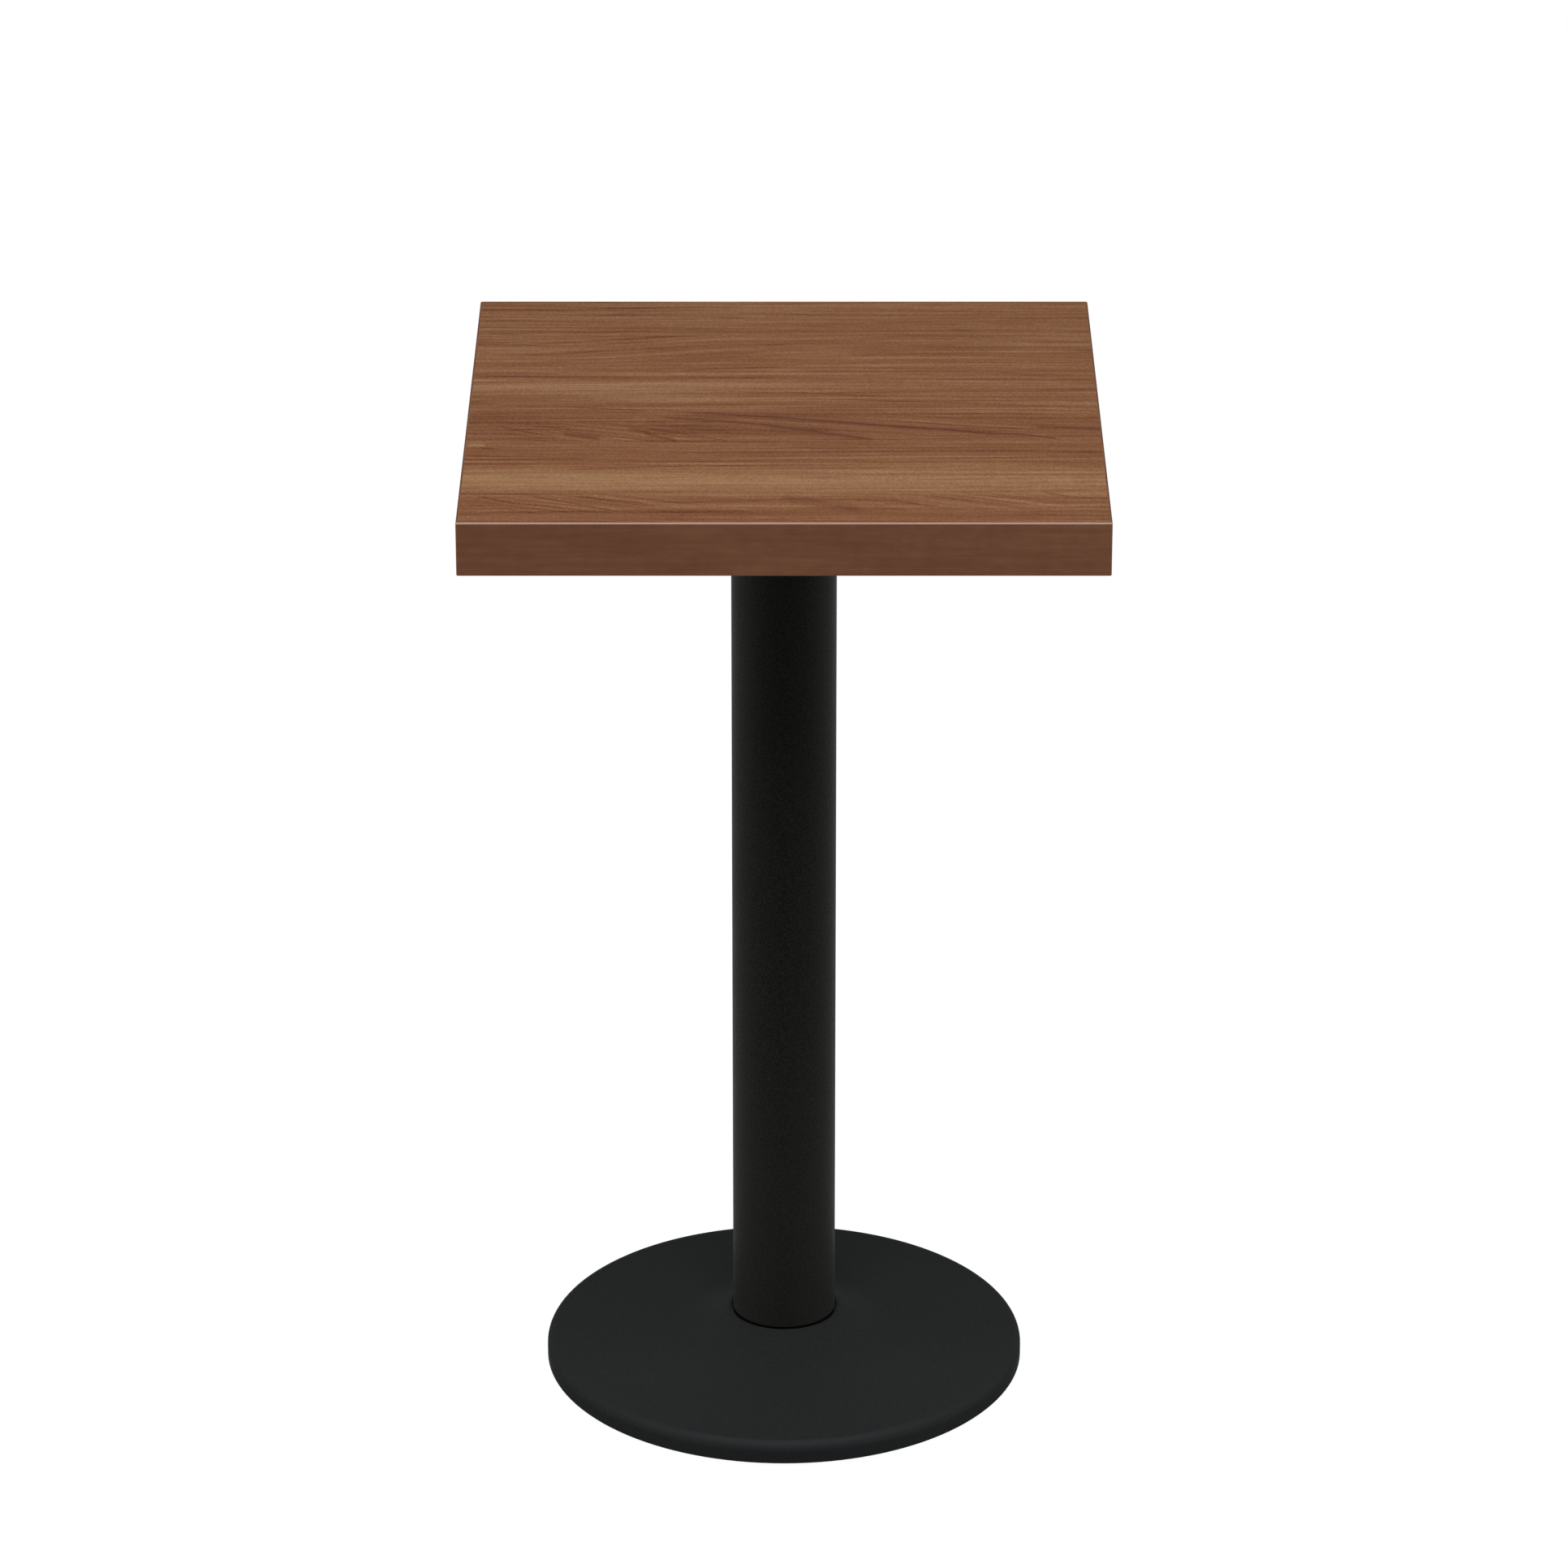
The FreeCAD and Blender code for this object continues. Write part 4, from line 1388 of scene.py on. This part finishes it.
@dataclass
class LevellingFoot:
    """One foot: a threaded stem with a ball, and a nylon pad snapped over it."""

    corner: Corner
    hex_under: float = 7.6 * MM
    hex_height: float = 4.0 * MM
    across_flats: float = 17.0 * MM
    hex_bevel: float = 30.0
    ball_radius: float = 3.0 * MM
    ball_height: float = 4.6 * MM
    neck_radius: float = 2.2 * MM
    thread: Thread = Thread(3.98 * MM, 1.25 * MM, 0.77 * MM)
    chamfer: float = 1.0 * MM
    pad_round: float = 1.8 * MM
    pad_foot_round: float = 1.0 * MM
    socket_clearance: float = 0.25 * MM
    mouth_radius: float = 2.7 * MM
    mouth_lead: float = 1.3 * MM
    groove_radius: float = 9.6 * MM
    groove_half_width: float = 0.9 * MM
    groove_depth: float = 0.5 * MM
    groove_floor_share: float = 0.4

    def hexagon(self) -> bpy.types.Object:
        """Models the hexagon of the stem, its corners turned off as on a nut.

        Returns:
            The hexagon.
        """
        corner = self.across_flats / math.sqrt(3)
        wide = corner * 1.01
        flat = self.across_flats / 2
        top = self.hex_under + self.hex_height
        bpy.ops.object.select_all(action="DESELECT")
        bpy.ops.mesh.primitive_cylinder_add(vertices=6, radius=corner, depth=self.hex_height)
        prism = bpy.context.object
        with editing(prism):
            bpy.ops.transform.translate(value=(0, 0, self.hex_under + self.hex_height / 2))
        bevel = (corner - flat) * math.tan(math.radians(self.hex_bevel))
        envelope = turned("envelope", [(0.0, self.hex_under), (flat, self.hex_under),
                                       (wide, self.hex_under + bevel), (wide, top - bevel),
                                       (flat, top), (0.0, top)], 64)
        return combine(prism, envelope, Boolean.TRIM)

    def stem(self, high: float) -> bpy.types.Object:
        """Models the stem on the Z axis: ball, neck, hexagon and threaded shank.

        Args:
            high: Height of the shank's upper end.
        Returns:
            The stem.
        """
        neck_angle = math.degrees(math.acos(self.neck_radius / self.ball_radius))
        outline = arc((0.0, self.ball_height), self.ball_radius, -90, neck_angle, 14)
        inside = self.hex_under + self.hex_height / 2
        outline[0] = (0.0, outline[0][1])
        outline += [(self.neck_radius, inside), (0.0, inside)]
        stem = combine(turned("stem", outline, 32), self.hexagon(), Boolean.JOIN)
        return combine(stem, self.thread.rod("shank", inside, high, self.chamfer), Boolean.JOIN)

    def pad(self, radius: float, height: float) -> bpy.types.Object:
        """Models the pad on the Z axis: rounded disc with a ring groove and a socket for the ball.

        Args:
            radius: The pad's outer radius.
            height: Height of its upper face.
        Returns:
            The pad.
        """
        socket = self.ball_radius + self.socket_clearance
        mouth_angle = math.degrees(math.acos(self.mouth_radius / socket))
        foot = self.pad_foot_round
        crown = self.pad_round
        groove = self.groove_radius
        half = self.groove_half_width
        floor_half = self.groove_floor_share * half
        floor = height - self.groove_depth
        outline = [(0.0, 0.0)]
        outline += arc((radius - foot, foot), foot, -90, 0, 5)
        outline += arc((radius - crown, height - crown), crown, 0, 90, 7)
        outline += [(groove + half, height), (groove + floor_half, floor),
                    (groove - floor_half, floor), (groove - half, height)]
        outline.append((self.mouth_radius + self.mouth_lead, height))
        bowl = arc((0.0, self.ball_height), socket, mouth_angle, -90, 12)
        bowl[-1] = (0.0, bowl[-1][1])
        return turned("pad", outline + bowl, 64)

    def build(self, zinc: bpy.types.Material, nylon: bpy.types.Material) -> list[bpy.types.Object]:
        """Models the stem and the pad at their corner.

        Args:
            zinc: The stem's finish.
            nylon: The pad's finish.
        Returns:
            The stem and the pad.
        """
        corner = self.corner.value
        pad_low, pad_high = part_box(f"glide_pad_{corner}")
        centre = (pad_low + pad_high) / 2
        radius = (pad_high.x - pad_low.x) / 2
        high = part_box(f"glide_stem_{corner}")[1].z
        turn = math.atan2(centre.y, centre.x)
        stem = shifted(self.stem(high), centre.x, centre.y, turn)
        stem.name = f"stem_{corner}"
        pad = shifted(self.pad(radius, pad_high.z), centre.x, centre.y)
        pad.name = f"pad_{corner}"
        return [
            finished(stem, zinc, f"stem_{corner}", f"glide_stem_{corner}"),
            finished(pad, nylon, f"pad_{corner}", f"glide_pad_{corner}"),
        ]


# Stage

@dataclass(frozen=True)
class Lamp:
    """Square soft lamp: where it hangs, the point that it faces, its side in metres and its watts."""

    name: str
    place: Place
    aim: Place
    size: float
    power: float

    def hang(self) -> None:
        """Adds the lamp to the scene."""
        data = bpy.data.lights.new(self.name, "AREA")
        data.shape = "SQUARE"
        data.size = self.size
        data.energy = self.power
        lamp = bpy.data.objects.new(self.name, data)
        lamp.location = self.place
        lamp.rotation_euler = (Vector(self.aim) - Vector(self.place)).to_track_quat("-Z", "Y").to_euler()
        bpy.context.scene.collection.objects.link(lamp)


@dataclass
class Studio:
    """White floor and surroundings, soft lamps and the camera of the photograph."""

    lens: float = 164.81
    sensor: float = 36.0
    camera_place: Place = (0.0, -6.399, 3.411)
    camera_pitch: float = 66.471
    floor_size: float = 60.0
    floor_white: float = 1.17
    floor_shade: float = 0.16
    paper: Colour = srgb(146, 146, 146)
    ambient: float = 0.25
    lamps: tuple[Lamp, ...] = (
        Lamp("front_softbox", (0.0, -1.9, 4.0), (0.0, 0.0, 0.8), 2.0, 96.0),
        Lamp("back_softbox", (0.0, 2.4, 3.4), (0.0, 0.0, 0.8), 2.0, 18.0),
        Lamp("left_fill", (-2.6, -0.1, 0.4), (0.0, 0.0, 0.25), 1.2, 20.0),
        Lamp("right_fill", (2.6, -0.1, 0.4), (0.0, 0.0, 0.25), 1.2, 20.0),
    )

    def camera(self) -> None:
        """Sets the camera up."""
        data = bpy.data.cameras.new("camera")
        data.lens = self.lens
        data.sensor_width = self.sensor
        camera = bpy.data.objects.new("camera", data)
        camera.location = self.camera_place
        camera.rotation_euler = (math.radians(self.camera_pitch), 0.0, 0.0)
        bpy.context.scene.collection.objects.link(camera)
        bpy.context.scene.camera = camera

    @staticmethod
    def seen_directly(graph: Graph) -> Field:
        """Tells what is seen from the light that falls on the object.

        Args:
            graph: Node tree of the floor or of the surroundings.
        Returns:
            1 for camera, mirror and see-through rays, otherwise 0.
        """
        path = graph.node("ShaderNodeLightPath")
        names = ("Is Camera Ray", "Is Glossy Ray", "Is Transmission Ray")
        camera, glossy, through = (Field(graph, path.outputs[name]) for name in names)
        either = camera.calc("MAXIMUM", camera, glossy)
        return either.calc("MAXIMUM", either, through)

    def floor(self) -> None:
        """Lays a white floor that keeps a soft shadow and is clear from below."""
        bpy.ops.object.select_all(action="DESELECT")
        bpy.ops.mesh.primitive_plane_add(size=self.floor_size)
        floor = bpy.context.object
        floor.name = "floor"
        material = bpy.data.materials.new("white_floor")
        material.use_nodes = True
        graph = Graph(material.node_tree)
        white = (self.floor_white, self.floor_white, self.floor_white, 1.0)
        paper = graph.node("ShaderNodeBsdfDiffuse", None, {"Color": self.paper})
        glow = graph.node("ShaderNodeEmission", None, {"Color": white, "Strength": 1.0})
        share = self.seen_directly(graph) * (1.0 - self.floor_shade)
        mixed = graph.node("ShaderNodeMixShader", None,
                           {0: share, 1: paper.outputs[0], 2: glow.outputs[0]})
        below = graph.node("ShaderNodeNewGeometry").outputs["Backfacing"]
        clear = graph.node("ShaderNodeBsdfTransparent")
        one_sided = graph.node("ShaderNodeMixShader", None,
                               {0: below, 1: mixed.outputs[0], 2: clear.outputs[0]})
        graph.node("ShaderNodeOutputMaterial", None, {"Surface": one_sided.outputs[0]})
        floor.data.materials.append(material)

    def surroundings(self) -> None:
        """White surroundings that light the object at a plain level."""
        world = bpy.data.worlds.new("studio")
        world.use_nodes = True
        bpy.context.scene.world = world
        graph = Graph(world.node_tree)
        strength = self.seen_directly(graph) * (1.0 - self.ambient) + self.ambient
        sky = graph.node("ShaderNodeBackground", None, {"Color": (1, 1, 1, 1), "Strength": strength})
        graph.node("ShaderNodeOutputWorld", None, {"Surface": sky.outputs[0]})

    def build(self) -> None:
        """Builds the stage round the object."""
        self.camera()
        self.floor()
        self.surroundings()
        for lamp in self.lamps:
            lamp.hang()
        bpy.context.scene.view_settings.view_transform = "Standard"


def main() -> None:
    """Builds, dresses and stages the table."""
    logging.basicConfig(level=logging.INFO, format="%(name)s: %(message)s")
    zinc = ZincPlate().material()
    nylon = MouldedNylon().material()
    TableTop().dress()
    spider = Spider()
    spider.dress()
    spider.build(zinc)
    rod = TieRod()
    rod.dress(zinc)
    rod.build(zinc)
    Pedestal().dress()
    for corner in Corner:
        LevellingFoot(corner).build(zinc, nylon)
    Studio().build()


if __name__ == "__main__":
    main()
